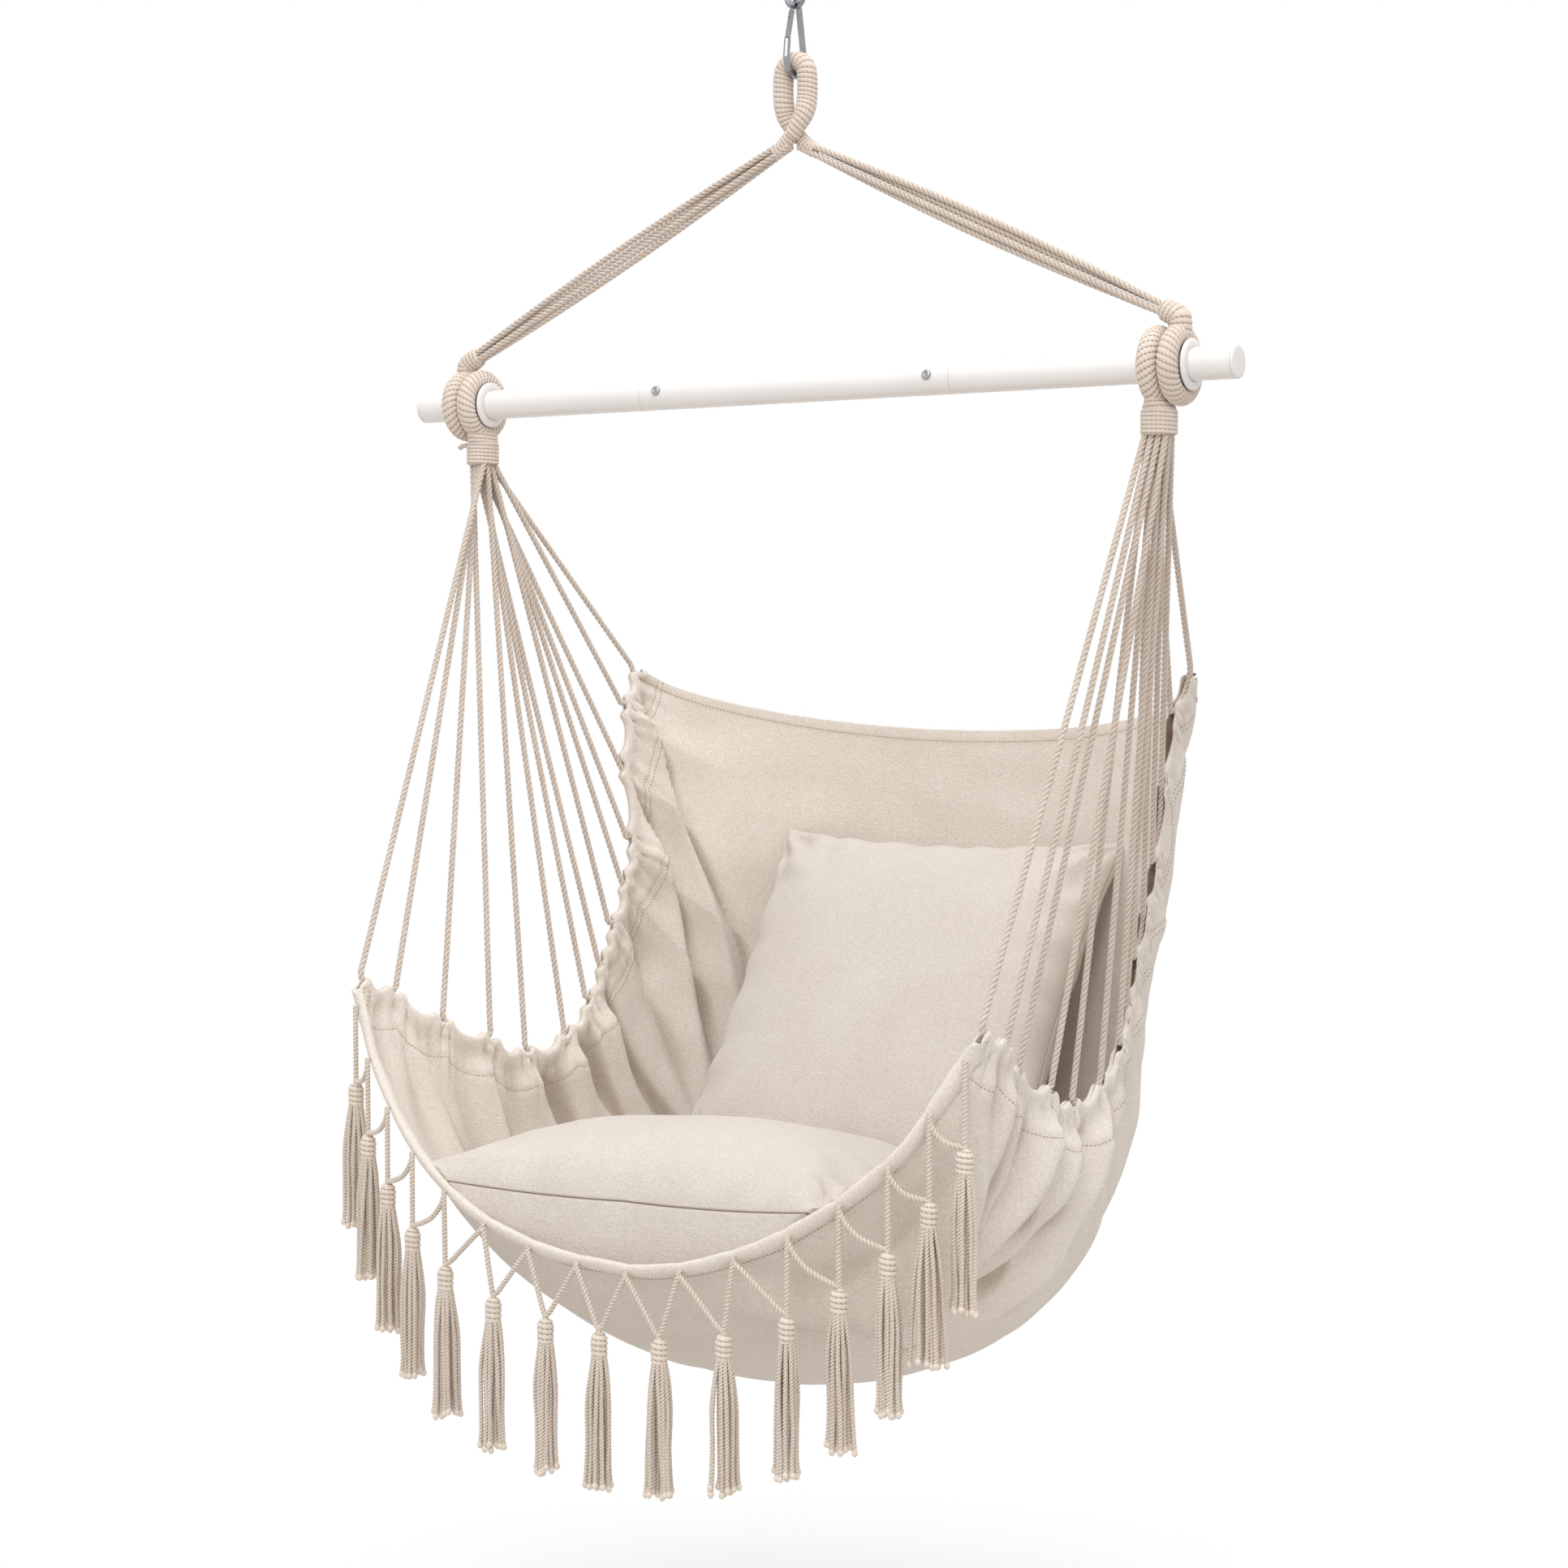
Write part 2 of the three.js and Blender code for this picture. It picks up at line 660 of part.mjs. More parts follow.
function clothPoint(i, j) {
  const t = j / (stations - 1);
  const u = (2 * i) / (clothColumns - 1) - 1;
  const s = u < 0 ? -1 : 1;
  const turn = (u * Math.PI) / 2;
  const edge = edgeAt(s, j);
  const middle = centreCurve.getPointAt(t);
  const share = Math.max(Math.cos(turn), 0) ** smooth(sectionShares, t);
  const p = edge.clone().lerp(middle, share);
  p.x = Math.abs(edge.x) * Math.sin(turn);
  return p;
}

function clothGrid() {
  const base = Array.from({ length: stations }, (_, j) =>
    Array.from({ length: clothColumns }, (_, i) => clothPoint(i, j)),
  );
  const normalAt = (grid, i, j) => {
    const a = grid[j][Math.min(i + 1, clothColumns - 1)].clone().sub(grid[j][Math.max(i - 1, 0)]);
    const b = grid[Math.min(j + 1, stations - 1)][i].clone().sub(grid[Math.max(j - 1, 0)][i]);
    return b.cross(a).normalize();
  };
  const folded = base.map((row, j) =>
    row.map((p, i) => {
      const u = Math.abs((2 * i) / (clothColumns - 1) - 1);
      const t = j / (stations - 1);
      const near = within(u, puckerShares);
      const wing = Math.sin(Math.PI * within(u, wingShares));
      const back = Math.sin(Math.PI * within(t, backShares));
      const ripple = (j % 2 ? 1 : -1) * pucker * near * (u < 1 ? 1 : 0);
      const fold = bigFold * wing * back * Math.sin((tau * j) / foldStations);
      const q = p.clone().addScaledVector(normalAt(base, i, j), ripple + fold);
      return q.addScaledVector(outAt(i < (clothColumns - 1) / 2 ? -1 : 1, j), -sagAt(j) * near);
    }),
  );
  const reach = casingRadius + casingSeat;
  const hemLine = folded[0].map((p) => p.clone());
  folded.forEach((row, j) => {
    row[0].addScaledVector(outAt(-1, j), -reach);
    row.at(-1).addScaledVector(outAt(1, j), -reach);
  });
  const hemInset = casingRadius + hemRadius + 2 * gap;
  hemLine[0].add(along(hemLine[0], hemLine[1], hemInset));
  hemLine.at(-1).add(along(hemLine.at(-1), hemLine.at(-2), hemInset));
  folded[0].forEach((p, i) => p.add(along(p, folded[1][i], hemRadius + gap + clothThickness / 2)));
  const normals = folded.map((row, j) => row.map((p, i) => normalAt(folded, i, j)));
  const offset = (amount) =>
    folded.map((row, j) => row.map((p, i) => p.clone().addScaledVector(normals[j][i], amount)));
  return { offset, hemLine };
}

const cloth = clothGrid();

// A closed shell between two grids of points, the upper one on the side that its normals point to.
function shell(upper, lower) {
  const rows = upper.length;
  const columns = upper[0].length;
  const count = rows * columns;
  const positions = [...upper.flat(), ...lower.flat()].flatMap((p) => [p.x, p.y, p.z]);
  const faces = [];
  const at = (j, i) => j * columns + i;
  const quad = (a, b, c, d) => faces.push(a, b, c, a, c, d);
  for (let j = 0; j < rows - 1; j++) {
    for (let i = 0; i < columns - 1; i++) {
      quad(at(j, i), at(j + 1, i), at(j + 1, i + 1), at(j, i + 1));
      quad(count + at(j, i), count + at(j, i + 1), count + at(j + 1, i + 1), count + at(j + 1, i));
    }
  }
  const loop = [];
  for (let i = 0; i < columns - 1; i++) loop.push(at(0, i));
  for (let j = 0; j < rows - 1; j++) loop.push(at(j, columns - 1));
  for (let i = columns - 1; i > 0; i--) loop.push(at(rows - 1, i));
  for (let j = rows - 1; j > 0; j--) loop.push(at(j, 0));
  loop.forEach((a, k) => {
    const b = loop[(k + 1) % loop.length];
    quad(a, b, count + b, count + a);
  });
  const geometry = new THREE.BufferGeometry();
  geometry.setAttribute("position", new THREE.Float32BufferAttribute(positions, 3));
  geometry.setIndex(faces);
  return geometry;
}

function seatCloth() {
  const half = clothThickness / 2;
  add("seat_cloth", shell(cloth.offset(half), cloth.offset(-half)), canvas);
  add("front_hem", tube(cloth.hemLine, hemRadius, 8, { side: Z }), canvas);
}

// Side cords: each runs down a leg, through the casing to the next place and up again
const cordsPerSide = legs / 2;

function legTopAt(s, k) {
  const row = (k % legRows) - (legRows - 1) / 2;
  return vec(s * (lowerEyeX + row * legRowSpacing), (k - (legs - 1) / 2) * legStep, legTop);
}

function seatCord(s, c) {
  const [k0, k1] = [2 * c, 2 * c + 1];
  const run = [2 * k0, 2 * k0 + 1, 2 * k1].map((j) => cordAt(s, j));
  const leg = (k, foot) => tube([legTopAt(s, k), foot], ropeRadius, 6, { startNormal: Z });
  return joined(leg(k0, run[0]), tube(run, ropeRadius, 6), leg(k1, run[2]));
}

function seatCords(s, name) {
  for (let c = 0; c < cordsPerSide; c++) {
    add("seat_cord_" + name + "_" + (c + 1), seatCord(s, c), rope);
  }
}

// The casing: the edge of the cloth wrapped over the side cord. The wrap closes over the cord between
// two legs, and stands open towards the collar where a leg comes out.
function sideCasing(s, name) {
  const rings = Array.from({ length: stations }, (_, j) => {
    const p = cordAt(s, j);
    const before = j > 0 ? along(cordAt(s, j - 1), p, 1) : vec(0, 0, 0);
    const after = j < stations - 1 ? along(p, cordAt(s, j + 1), 1) : vec(0, 0, 0);
    const t = before.add(after).normalize();
    const out = outAt(s, j);
    out.addScaledVector(t, -out.dot(t)).normalize();
    const inward = t.clone().cross(out).multiplyScalar(s);
    const [from, to] = j % 2 ? casingShutShares : casingOpenShares;
    const point = (radius, k) => {
      const angle = tau * (from + ((to - from) * k) / casingFacets);
      const q = p.clone().addScaledVector(out, radius * Math.cos(angle));
      return q.addScaledVector(inward, radius * Math.sin(angle));
    };
    const count = casingFacets + 1;
    const outer = Array.from({ length: count }, (_, k) => point(casingRadius, k));
    const inner = Array.from({ length: count }, (_, k) => point(casingBore, casingFacets - k));
    const ring = [...outer, ...inner];
    return s > 0 ? ring : ring.reverse();
  });
  add("side_casing_" + name, skin(rings), canvas);
}

// Where a weight hangs from two cords of one length at two knots: below the higher one where the lower
// one's cord reaches that far, and otherwise between them. Steep pairs of knots have longer cords.
function hungFrom(a, b) {
  const [high, low] = a.z > b.z ? [a, b] : [b, a];
  const length = armLength + (armSlack * Math.abs(a.z - b.z)) / a.distanceTo(b);
  const below = high.clone().addScaledVector(Z, -length);
  if (below.distanceTo(low) <= length) return below;
  const half = a.distanceTo(b) / 2;
  const flat = along(a, b, 1);
  const down = Z.clone().negate().addScaledVector(flat, flat.z).normalize();
  return a.clone().lerp(b, 1 / 2).addScaledVector(down, Math.sqrt(length ** 2 - half ** 2));
}

// Tassels hang from pairs of points along the front hem
function fringe() {
  const hem = new THREE.CatmullRomCurve3(cloth.hemLine, false, "centripetal");
  const total = hem.getLength();
  const pitch = (total - 2 * tasselInset) / tassels;
  const drop = hemRadius + gap + armRadius;
  const knots = Array.from({ length: tassels + 1 }, (_, i) => {
    const share = (tasselInset + i * pitch) / total;
    const t = hem.getTangentAt(share);
    const down = vec(0, -1, -1);
    down.addScaledVector(t, -down.dot(t)).setLength(drop);
    return hem.getPointAt(share).add(down);
  });
  const pieces = [];
  const line = [knots[0]];
  for (let i = 0; i < tassels; i++) {
    const [a, b] = [knots[i], knots[i + 1]];
    const head = hungFrom(a, b);
    line.push(head, b);
    const profile = [
      [0, tasselHeadRadius / 2],
      [tasselHeadRadius, -tasselHeadHeight / 4],
      [tasselHeadRadius, -tasselHeadHeight],
      [tasselSkirtRadius, -tasselLength * tasselSkirtShare],
      [tasselSkirtRadius * tasselSkirtShare, -tasselLength],
      [0, -tasselLength],
    ];
    const outline = profile.reverse().map(([r, z]) => new THREE.Vector2(r, z));
    const body = new THREE.LatheGeometry(outline, tasselSides);
    pieces.push(body.rotateX(Math.PI / 2).translate(head.x, head.y, head.z));
  }
  add("tassel_fringe", joined(tube(line, armRadius, 4), ...pieces), rope);
}

// A knife-edge pillow: crown above the seam, belly below it, sides drawn in between the corners
function pillowShape(halfA, halfB, crown, belly) {
  const n = cushionCells;
  const grid = (sign, depth) =>
    Array.from({ length: n + 1 }, (_, j) =>
      Array.from({ length: n + 1 }, (_, i) => {
        const a = Math.sin((Math.PI / 2) * ((2 * i) / n - 1));
        const b = Math.sin((Math.PI / 2) * ((2 * j) / n - 1));
        const swell = ((1 - a * a) * (1 - b * b)) ** cushionSwellShare;
        const x = a * (halfA - cushionPinch * (1 - b * b) * a * a);
        const y = b * (halfB - cushionPinch * (1 - a * a) * b * b);
        return vec(x, y, sign * (depth * swell + clothThickness / 2));
      }),
    );
  return shell(grid(-1, belly), grid(1, crown));
}

// The room inside the cloth, closed far in front of and above the seat
function clothRoom() {
  const floor = cloth.offset(-clothThickness / 2 - gap);
  const apex = vec(0, -3 * clothFront, barZ + clothDepth);
  const lid = floor.map((row) => row.map((p) => p.clone().lerp(apex, 1 / 2)));
  return shell(floor, lid);
}

function cushions() {
  const place = (geometry, mid, tilt) => geometry.rotateX(tilt).translate(mid[0], mid[1], barZ + mid[2]);
  const seatTilt = -seatCushionTiltShare * Math.PI;
  const backTilt = backCushionTiltShare * Math.PI;
  const room = solidOf(clothRoom()).subtract(solidOf(tube(cloth.hemLine, hemRadius + gap, 8, { side: Z })));
  const seatBody = place(
    pillowShape(seatCushionHalfWidth, seatCushionHalfDepth, seatCushionCrown, seatCushionBelly),
    seatCushionMid,
    seatTilt,
  );
  const seatGrown = place(
    pillowShape(
      seatCushionHalfWidth + gap,
      seatCushionHalfDepth + gap,
      seatCushionCrown + 2 * gap,
      seatCushionBelly + 2 * gap,
    ),
    seatCushionMid,
    seatTilt,
  );
  const backBody = place(
    pillowShape(backCushionHalfWidth, backCushionHalfHeight, backCushionCrown, backCushionCrown),
    backCushionMid,
    backTilt,
  );
  const seat = solidOf(seatBody).intersect(room);
  const back = solidOf(backBody).intersect(room).subtract(solidOf(seatGrown));
  add("seat_cushion", geometryOf(seat), pillow);
  add("back_cushion", geometryOf(back), pillow);
}

hangingLink();
hookBody();
hookGate();
topLoop();
barTubes();
seatCloth();
for (const [s, name] of [[-1, "left"], [1, "right"]]) {
  slingRopesOf(s, name);
  upperEye(s, name);
  lowerEye(s, name);
  barJoint(s, name);
  barEndCap(s, name);
  bushes(s, name);
  seatCords(s, name);
  sideCasing(s, name);
}
fringe();
cushions();

export default chair;
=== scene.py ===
import math

import bpy
import numpy as np
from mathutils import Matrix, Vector
from mathutils.bvhtree import BVHTree

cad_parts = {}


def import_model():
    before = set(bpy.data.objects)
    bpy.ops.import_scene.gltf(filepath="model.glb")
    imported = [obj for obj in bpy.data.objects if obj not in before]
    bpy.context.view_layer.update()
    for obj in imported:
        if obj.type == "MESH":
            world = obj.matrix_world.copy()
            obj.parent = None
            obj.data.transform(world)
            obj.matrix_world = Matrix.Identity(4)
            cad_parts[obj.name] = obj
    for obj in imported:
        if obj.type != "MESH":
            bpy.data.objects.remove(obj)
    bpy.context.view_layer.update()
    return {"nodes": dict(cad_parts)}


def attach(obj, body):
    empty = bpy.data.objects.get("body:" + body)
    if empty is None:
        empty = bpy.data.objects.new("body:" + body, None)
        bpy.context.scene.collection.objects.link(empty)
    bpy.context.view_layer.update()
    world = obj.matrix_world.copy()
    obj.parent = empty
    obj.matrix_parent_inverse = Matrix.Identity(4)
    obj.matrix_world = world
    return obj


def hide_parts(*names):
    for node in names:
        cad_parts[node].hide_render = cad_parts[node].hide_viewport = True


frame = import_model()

# A rope-hung hammock chair. Points are worked out in millimetres in the frame of the CAD source, and
# meshes are made in metres. Many sizes repeat the source's, under its names where it has one.
MM = 0.001
TAU = 2 * math.pi
X, Y, Z = np.eye(3)

# The two sides of the chair: the sign of x, and the name.
SIDES = ((-1, "left"), (1, "right"))

# ---- sizes from the source
piece_gap = 0.3
link_radius, hook_radius, hook_length = 2.5, 3.5, 84
whip_wire, whip_orbit = 4, 8.6
whip_outer = whip_orbit + whip_wire / 2
core_radius = 4.7
loop_height, loop_knee_rise, cross_reach = 95, 34, 15
neck_rise, neck_reach = 46, 9.5
bar_length, bar_radius, bar_middle = 1000, 16, 382
lower_eye_x = bar_length / 2 - 83
upper_eye_x = lower_eye_x + 2 * whip_outer + 0.6
link_bottom = -36 - link_radius
hook_top = link_bottom + link_radius + piece_gap + hook_radius
hook_bottom = hook_top - hook_length + 2 * hook_radius
loop_half = whip_outer + hook_radius + piece_gap
loop_crest = hook_bottom + hook_radius + piece_gap + whip_outer
neck_z = loop_crest + whip_outer - loop_height
bar_z = neck_z - 251
bush_radius = bar_radius + piece_gap + 1.7
bush_flange_radius, bush_flange = 25, 4
eye_turns = 34
eye_radius = bush_radius + piece_gap + whip_outer
collar_top, post_bottom = 40.6, 66
leg_top = bar_z - post_bottom - piece_gap
rope_radius, rope_bundle, rope_fan = 3, 3.5, 6.4
# A laid rope's outer radius and its pitch: over its lobes it is a little thicker than the source's round one.
seat_lay, sling_lay = (rope_radius * 1.16, 18.5), (rope_radius * 1.2, 19)
rope_step = 1.9
legs, leg_rows, leg_row_spacing, leg_step = 14, 4, 6.6, 1.6
stations = 2 * legs - 1

seat_half_width, seat_front, seat_back, seat_low = 371, 264, 202, 716
edge_width = [1, .992, .943, .93, .916, .908, .908, .903, .898, .898, .903, .93, .943, .965]
edge_reach = [-1, -.803, -.591, -.307, -.098, .203, .406, .51, .604, .718, .797, .797, .851, 1]
edge_drop = [.856, .885, .934, .972, 1, .983, .939, .88, .824, .754, .691, .571, .473, .409]
cloth_depth, cloth_front, cloth_rear = 1042, 340, 380
centre_reach = [-1, -.735, -.382, 0, .342, .632, .829, .934, .987, 1, .987]
centre_drop = [.827, .912, .969, 1, .998, .945, .845, .71, .566, .432, .352]
section_shares = [1.35, 1, .82, .75, .72, .72, .75, .8, 1]
scallop, pucker = 13, 5
tassels, tassel_inset, arm_length, arm_slack, tassel_length = 15, 21.3, 67, 13, 150


# ---- curves
def unit(v):
    v = np.asarray(v, float)
    return v / np.maximum(np.linalg.norm(v, axis=-1, keepdims=True), 1e-12)


def centripetal(points, ts):
    """Points at parameters from 0 to 1 of a centripetal Catmull-Rom curve, drawn as the source draws it."""
    p = np.asarray(points, float)
    padded = np.vstack([2 * p[0] - p[1], p, 2 * p[-1] - p[-2]])
    q = np.clip(np.asarray(ts, float), 0, 1) * (len(p) - 1)
    i = np.minimum(q.astype(int), len(p) - 2)
    w = (q - i)[..., None]
    p0, p1, p2, p3 = (padded[i + k] for k in range(4))
    d0, d1, d2 = (
        np.maximum(((b - a) ** 2).sum(-1) ** 0.25, 1e-4)[..., None]
        for a, b in ((p0, p1), (p1, p2), (p2, p3))
    )
    t1 = ((p1 - p0) / d0 - (p2 - p0) / (d0 + d1) + (p2 - p1) / d1) * d1
    t2 = ((p2 - p1) / d1 - (p3 - p1) / (d1 + d2) + (p3 - p2) / d2) * d1
    return p1 + t1 * w + (3 * (p2 - p1) - 2 * t1 - t2) * w**2 + (2 * (p1 - p2) + t1 + t2) * w**3


def smooth(shares, t):
    n = len(shares) - 1
    return centripetal([(i / n, v) for i, v in enumerate(shares)], t)[..., 1]


def lengths(p):
    return np.r_[0, np.cumsum(np.linalg.norm(np.diff(p, axis=0), axis=1))]


def points_at(want, at, p):
    """Points of a line at the wanted lengths, where its own points are at the lengths at."""
    return np.stack([np.interp(want, at, p[:, k]) for k in range(3)], -1)


def evenly(p, step=None, count=None):
    """The same line with evenly spaced points."""
    at = lengths(p)
    count = count or max(2, int(round(at[-1] / step)) + 1)
    return points_at(np.linspace(0, at[-1], count), at, p)


def curve(points, step):
    dense = centripetal(points, np.linspace(0, 1, 24 * (len(points) - 1) + 1))
    return evenly(dense, step)


def frames(p, closed=False, side=None):
    """Tangents and two square directions along a line, turned as little as possible."""
    if closed:
        t = unit(np.roll(p, -1, 0) - np.roll(p, 1, 0))
    else:
        t = unit(np.gradient(p, axis=0))
    if side is not None:
        a = unit(side - (t @ np.asarray(side, float))[:, None] * t)
        return t, a, np.cross(t, a)
    a = np.empty_like(t)
    now = X if abs(t[0] @ X) < 0.7 else Y
    for i in range(len(t)):
        now = unit(now - (now @ t[i]) * t[i])
        a[i] = now
    return t, a, np.cross(t, a)


def linear(v, lo, hi):
    return np.clip((v - lo) / (hi - lo), 0, 1)


def within(v, lo, hi):
    """0 below lo and 1 above hi, with a soft step between them."""
    w = linear(v, lo, hi)
    return w * w * (3 - 2 * w)


def bell(v, width):
    return np.exp(-((v / width) ** 2))


def round_angles(count):
    return np.arange(count) / count * TAU


def round_arms(ang, a, b):
    """Directions at angles from one square direction to the other."""
    return np.cos(ang)[..., None] * a + np.sin(ang)[..., None] * b


def rounded_end(s, length, least=0):
    """The share of the full radius at places on a line whose ends are rounded over a length."""
    end = np.minimum(s, s[-1] - s)
    return np.sqrt(np.clip(1 - (1 - np.clip(end / length, 0, 1)) ** 2, least, 1))


# ---- meshes
class Shape:
    """Gathers closed surfaces into one mesh, with a UV map in metres."""

    def __init__(self):
        self.v, self.relief, self.quads, self.tris, self.quv, self.tuv, self.n = [], [], [], [], [], [], 0

    def skin(self, rings, closed=False, uv_width=1.0, relief=1.0):
        """A surface through rings of points with as many corners each.
        Its painted shade is 1 on ridges and 0 in grooves, where it darkens the colour."""
        rings = np.asarray(rings, float)
        m, k = rings.shape[:2]
        self.v.append(rings.reshape(-1, 3))
        self.relief.append(np.broadcast_to(relief, (m, k)).ravel())
        rows = m if closed else m - 1
        i, j = np.meshgrid(np.arange(rows), np.arange(k), indexing="ij")
        a, b = i * k, ((i + 1) % m) * k
        j2 = (j + 1) % k
        quads = np.stack([a + j, a + j2, b + j2, b + j], -1).reshape(-1, 4) + self.n
        middle = rings.mean(1)
        at = lengths(np.vstack([middle, middle[:1]])) if closed else lengths(middle)
        va, vb = at[i], at[i + 1] if closed else at[np.minimum(i + 1, m - 1)]
        ua, ub = j / k * uv_width, (j + 1) / k * uv_width
        uv = np.stack([ua, va, ub, va, ub, vb, ua, vb], -1).reshape(-1, 4, 2)
        self.quads.append(quads)
        self.quv.append(uv)
        if not closed:
            for ring, base, turn in ((rings[0], 0, True), (rings[-1], (m - 1) * k, False)):
                hub = self.n + m * k + (0 if turn else 1)
                self.v.append(ring.mean(0)[None])
                self.relief.append(np.full(1, 0.6))
                s = np.arange(k)
                e = (s + 1) % k
                s, e = (e, s) if turn else (s, e)
                tri = np.stack([base + self.n + s, base + self.n + e, np.full(k, hub)], -1)
                self.tris.append(tri)
                self.tuv.append(np.zeros((k, 3, 2)))
            self.n += 2
        self.n += m * k
        return self

    def grid(self, v, quads, uv, relief=1.0):
        self.v.append(v)
        self.relief.append(np.broadcast_to(relief, (len(v),)))
        self.quads.append(quads + self.n)
        self.quv.append(uv)
        self.n += len(v)
        return self

    def tube(self, line, radius, sides, closed=False, side=None):
        """A round tube along a line, with a radius that may change along it."""
        _, a, b = frames(line, closed, side)
        r = np.broadcast_to(np.asarray(radius, float), (len(line),))
        arm = round_arms(round_angles(sides), a[:, None], b[:, None])
        return self.skin(line[:, None] + r[:, None, None] * arm, closed, TAU * r.mean())

    def laid(self, line, radius, strands, pitch, phase=0.0, taper=0.0, per=6):
        """A rope of twisted strands along a line: one surface whose section has a lobe for each strand."""
        _, a, b = frames(line)
        s = lengths(line)
        corners = strands * per
        k = np.arange(corners)
        off = ((k % per) / per - 0.5) * TAU / strands
        lobe = 0.42 + 0.58 * np.cos(off * (1 if strands > 2 else 0.72))
        ang = k / corners * TAU + phase + (s / pitch * TAU)[:, None]
        r = np.full(len(s), float(radius))
        if taper:
            r *= rounded_end(s, taper, 0.02)
        arm = round_arms(ang, a[:, None], b[:, None])
        rings = line[:, None] + (r[:, None] * lobe[None])[..., None] * arm
        # The grooves between the strands are darkened as painted shade.
        return self.skin(rings, uv_width=strands * 7, relief=((lobe - lobe.min()) / np.ptp(lobe))[None])

    def wound(self, line, radius, turns, starts=1, lobes=15, ridge=1.6, twist=0.45, closed=False,
              side=None, per_turn=8, per_lobe=5, wide=None, round_ends=3.0, phase=0.0):
        """A body covered by a cord wound round it: each turn is a ridge, and shows the cord's twist.
        radius is the outer one, and wide the outer one in the other direction, where it differs."""
        count = int(round(turns * per_turn))
        p = evenly(np.vstack([line, line[:1]]) if closed else line, count=count + 1)
        p = p[:-1] if closed else p
        _, a, b = frames(p, closed, side)
        share = np.arange(len(p)) / count
        ang = round_angles(lobes * per_lobe)

        def fit(v):
            return np.interp(share, np.linspace(0, 1, np.size(v)), np.atleast_1d(np.asarray(v, float)))

        ra, rb = fit(radius), fit(radius if wide is None else wide)
        turn = turns * share[:, None] + starts * (ang / TAU)[None] + phase
        x = turn - np.floor(turn) - 0.5
        bump = ridge * (np.sqrt(np.maximum(1 - (1.9 * x) ** 2, 0)) - 1)
        strand = np.cos(TAU * (lobes * (ang / TAU)[None] + 1.1 * x))
        drop = bump - twist * (0.5 - 0.5 * strand)
        if not closed:
            pinch = round_ends * (1 - rounded_end(lengths(p), round_ends))
            ra, rb = ra - pinch, rb - pinch
        ring = p[:, None] + ((ra[:, None] + drop) * np.cos(ang))[..., None] * a[:, None]
        ring = ring + ((rb[:, None] + drop) * np.sin(ang))[..., None] * b[:, None]
        # The grooves between the turns and the strands are darkened as painted shade.
        relief = np.clip(1 + bump / (0.7 * ridge) - 0.45 * (0.5 - 0.5 * strand), 0, 1)
        return self.skin(ring, closed, TAU * whip_outer, relief=relief)

    def lathe(self, profile, place, axis, sides):
        """A turned body about an axis through a place: pairs of place along the axis and radius."""
        axis = unit(axis)
        a = unit(np.cross(axis, Z if abs(axis[2]) < 0.8 else X))
        b = np.cross(axis, a)
        arm = round_arms(round_angles(sides), a, b)
        rings = [np.asarray(place) + axis * x + arm * max(r, 0.01) for x, r in profile]
        return self.skin(rings, uv_width=TAU * 10)

    def piece(self, name, body, finish, *nodes):
        """Makes the mesh, which rides on a body and stands for CAD nodes.
        A finish is a slot and its material; the slot is not used."""
        slot, material = finish
        v = np.vstack(self.v) * MM
        quads = np.vstack(self.quads) if self.quads else np.zeros((0, 4), int)
        tris = np.vstack(self.tris) if self.tris else np.zeros((0, 3), int)
        uv = [u.reshape(-1, 2) for u in (*self.quv, *self.tuv)]
        mesh = bpy.data.meshes.new(name)
        mesh.vertices.add(len(v))
        mesh.vertices.foreach_set("co", v.astype(np.float32).ravel())
        mesh.loops.add(quads.size + tris.size)
        mesh.loops.foreach_set("vertex_index", np.r_[quads.ravel(), tris.ravel()].astype(np.int32))
        starts = np.r_[np.arange(len(quads)) * 4, quads.size + np.arange(len(tris)) * 3]
        mesh.polygons.add(len(starts))
        mesh.polygons.foreach_set("loop_start", starts.astype(np.int32))
        layer = mesh.uv_layers.new(name="UVMap")
        layer.data.foreach_set("uv", (np.vstack(uv) * MM).astype(np.float32).ravel())
        mesh.polygons.foreach_set("use_smooth", np.ones(len(starts), bool))
        # Each point's painted shade goes to the material as an attribute, which darkens the colour.
        relief = mesh.attributes.new("relief", "FLOAT", "POINT")
        relief.data.foreach_set("value", np.concatenate(self.relief).astype(np.float32))
        mesh.update(calc_edges=True)
        mesh.validate()
        o = bpy.data.objects.new(name, mesh)
        bpy.context.scene.collection.objects.link(o)
        mesh.materials.append(material)
        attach(o, body)
        if nodes:
            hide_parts(*nodes)
        return o


# ---- materials
WHITE = (1, 1, 1, 1)


def srgb(r, g, b):
    """The linear colour of an sRGB one whose channels are all over 10 of 255."""
    return tuple(((c / 255 + 0.055) / 1.055) ** 2.4 for c in (r, g, b)) + (1.0,)


class Nodes:
    """The nodes of a material or a world."""

    def __init__(self, tree):
        self.nodes, self.links = tree.nodes, tree.links

    def node(self, kind, inputs=(), **settings):
        n = self.nodes.new(kind)
        for key, value in settings.items():
            setattr(n, key, value)
        for key, value in dict(inputs).items():
            if isinstance(value, bpy.types.NodeSocket):
                self.links.new(value, n.inputs[key])
            else:
                n.inputs[key].default_value = value
        return n

    def math(self, operation, a, b):
        return self.node("ShaderNodeMath", {0: a, 1: b}, operation=operation).outputs[0]


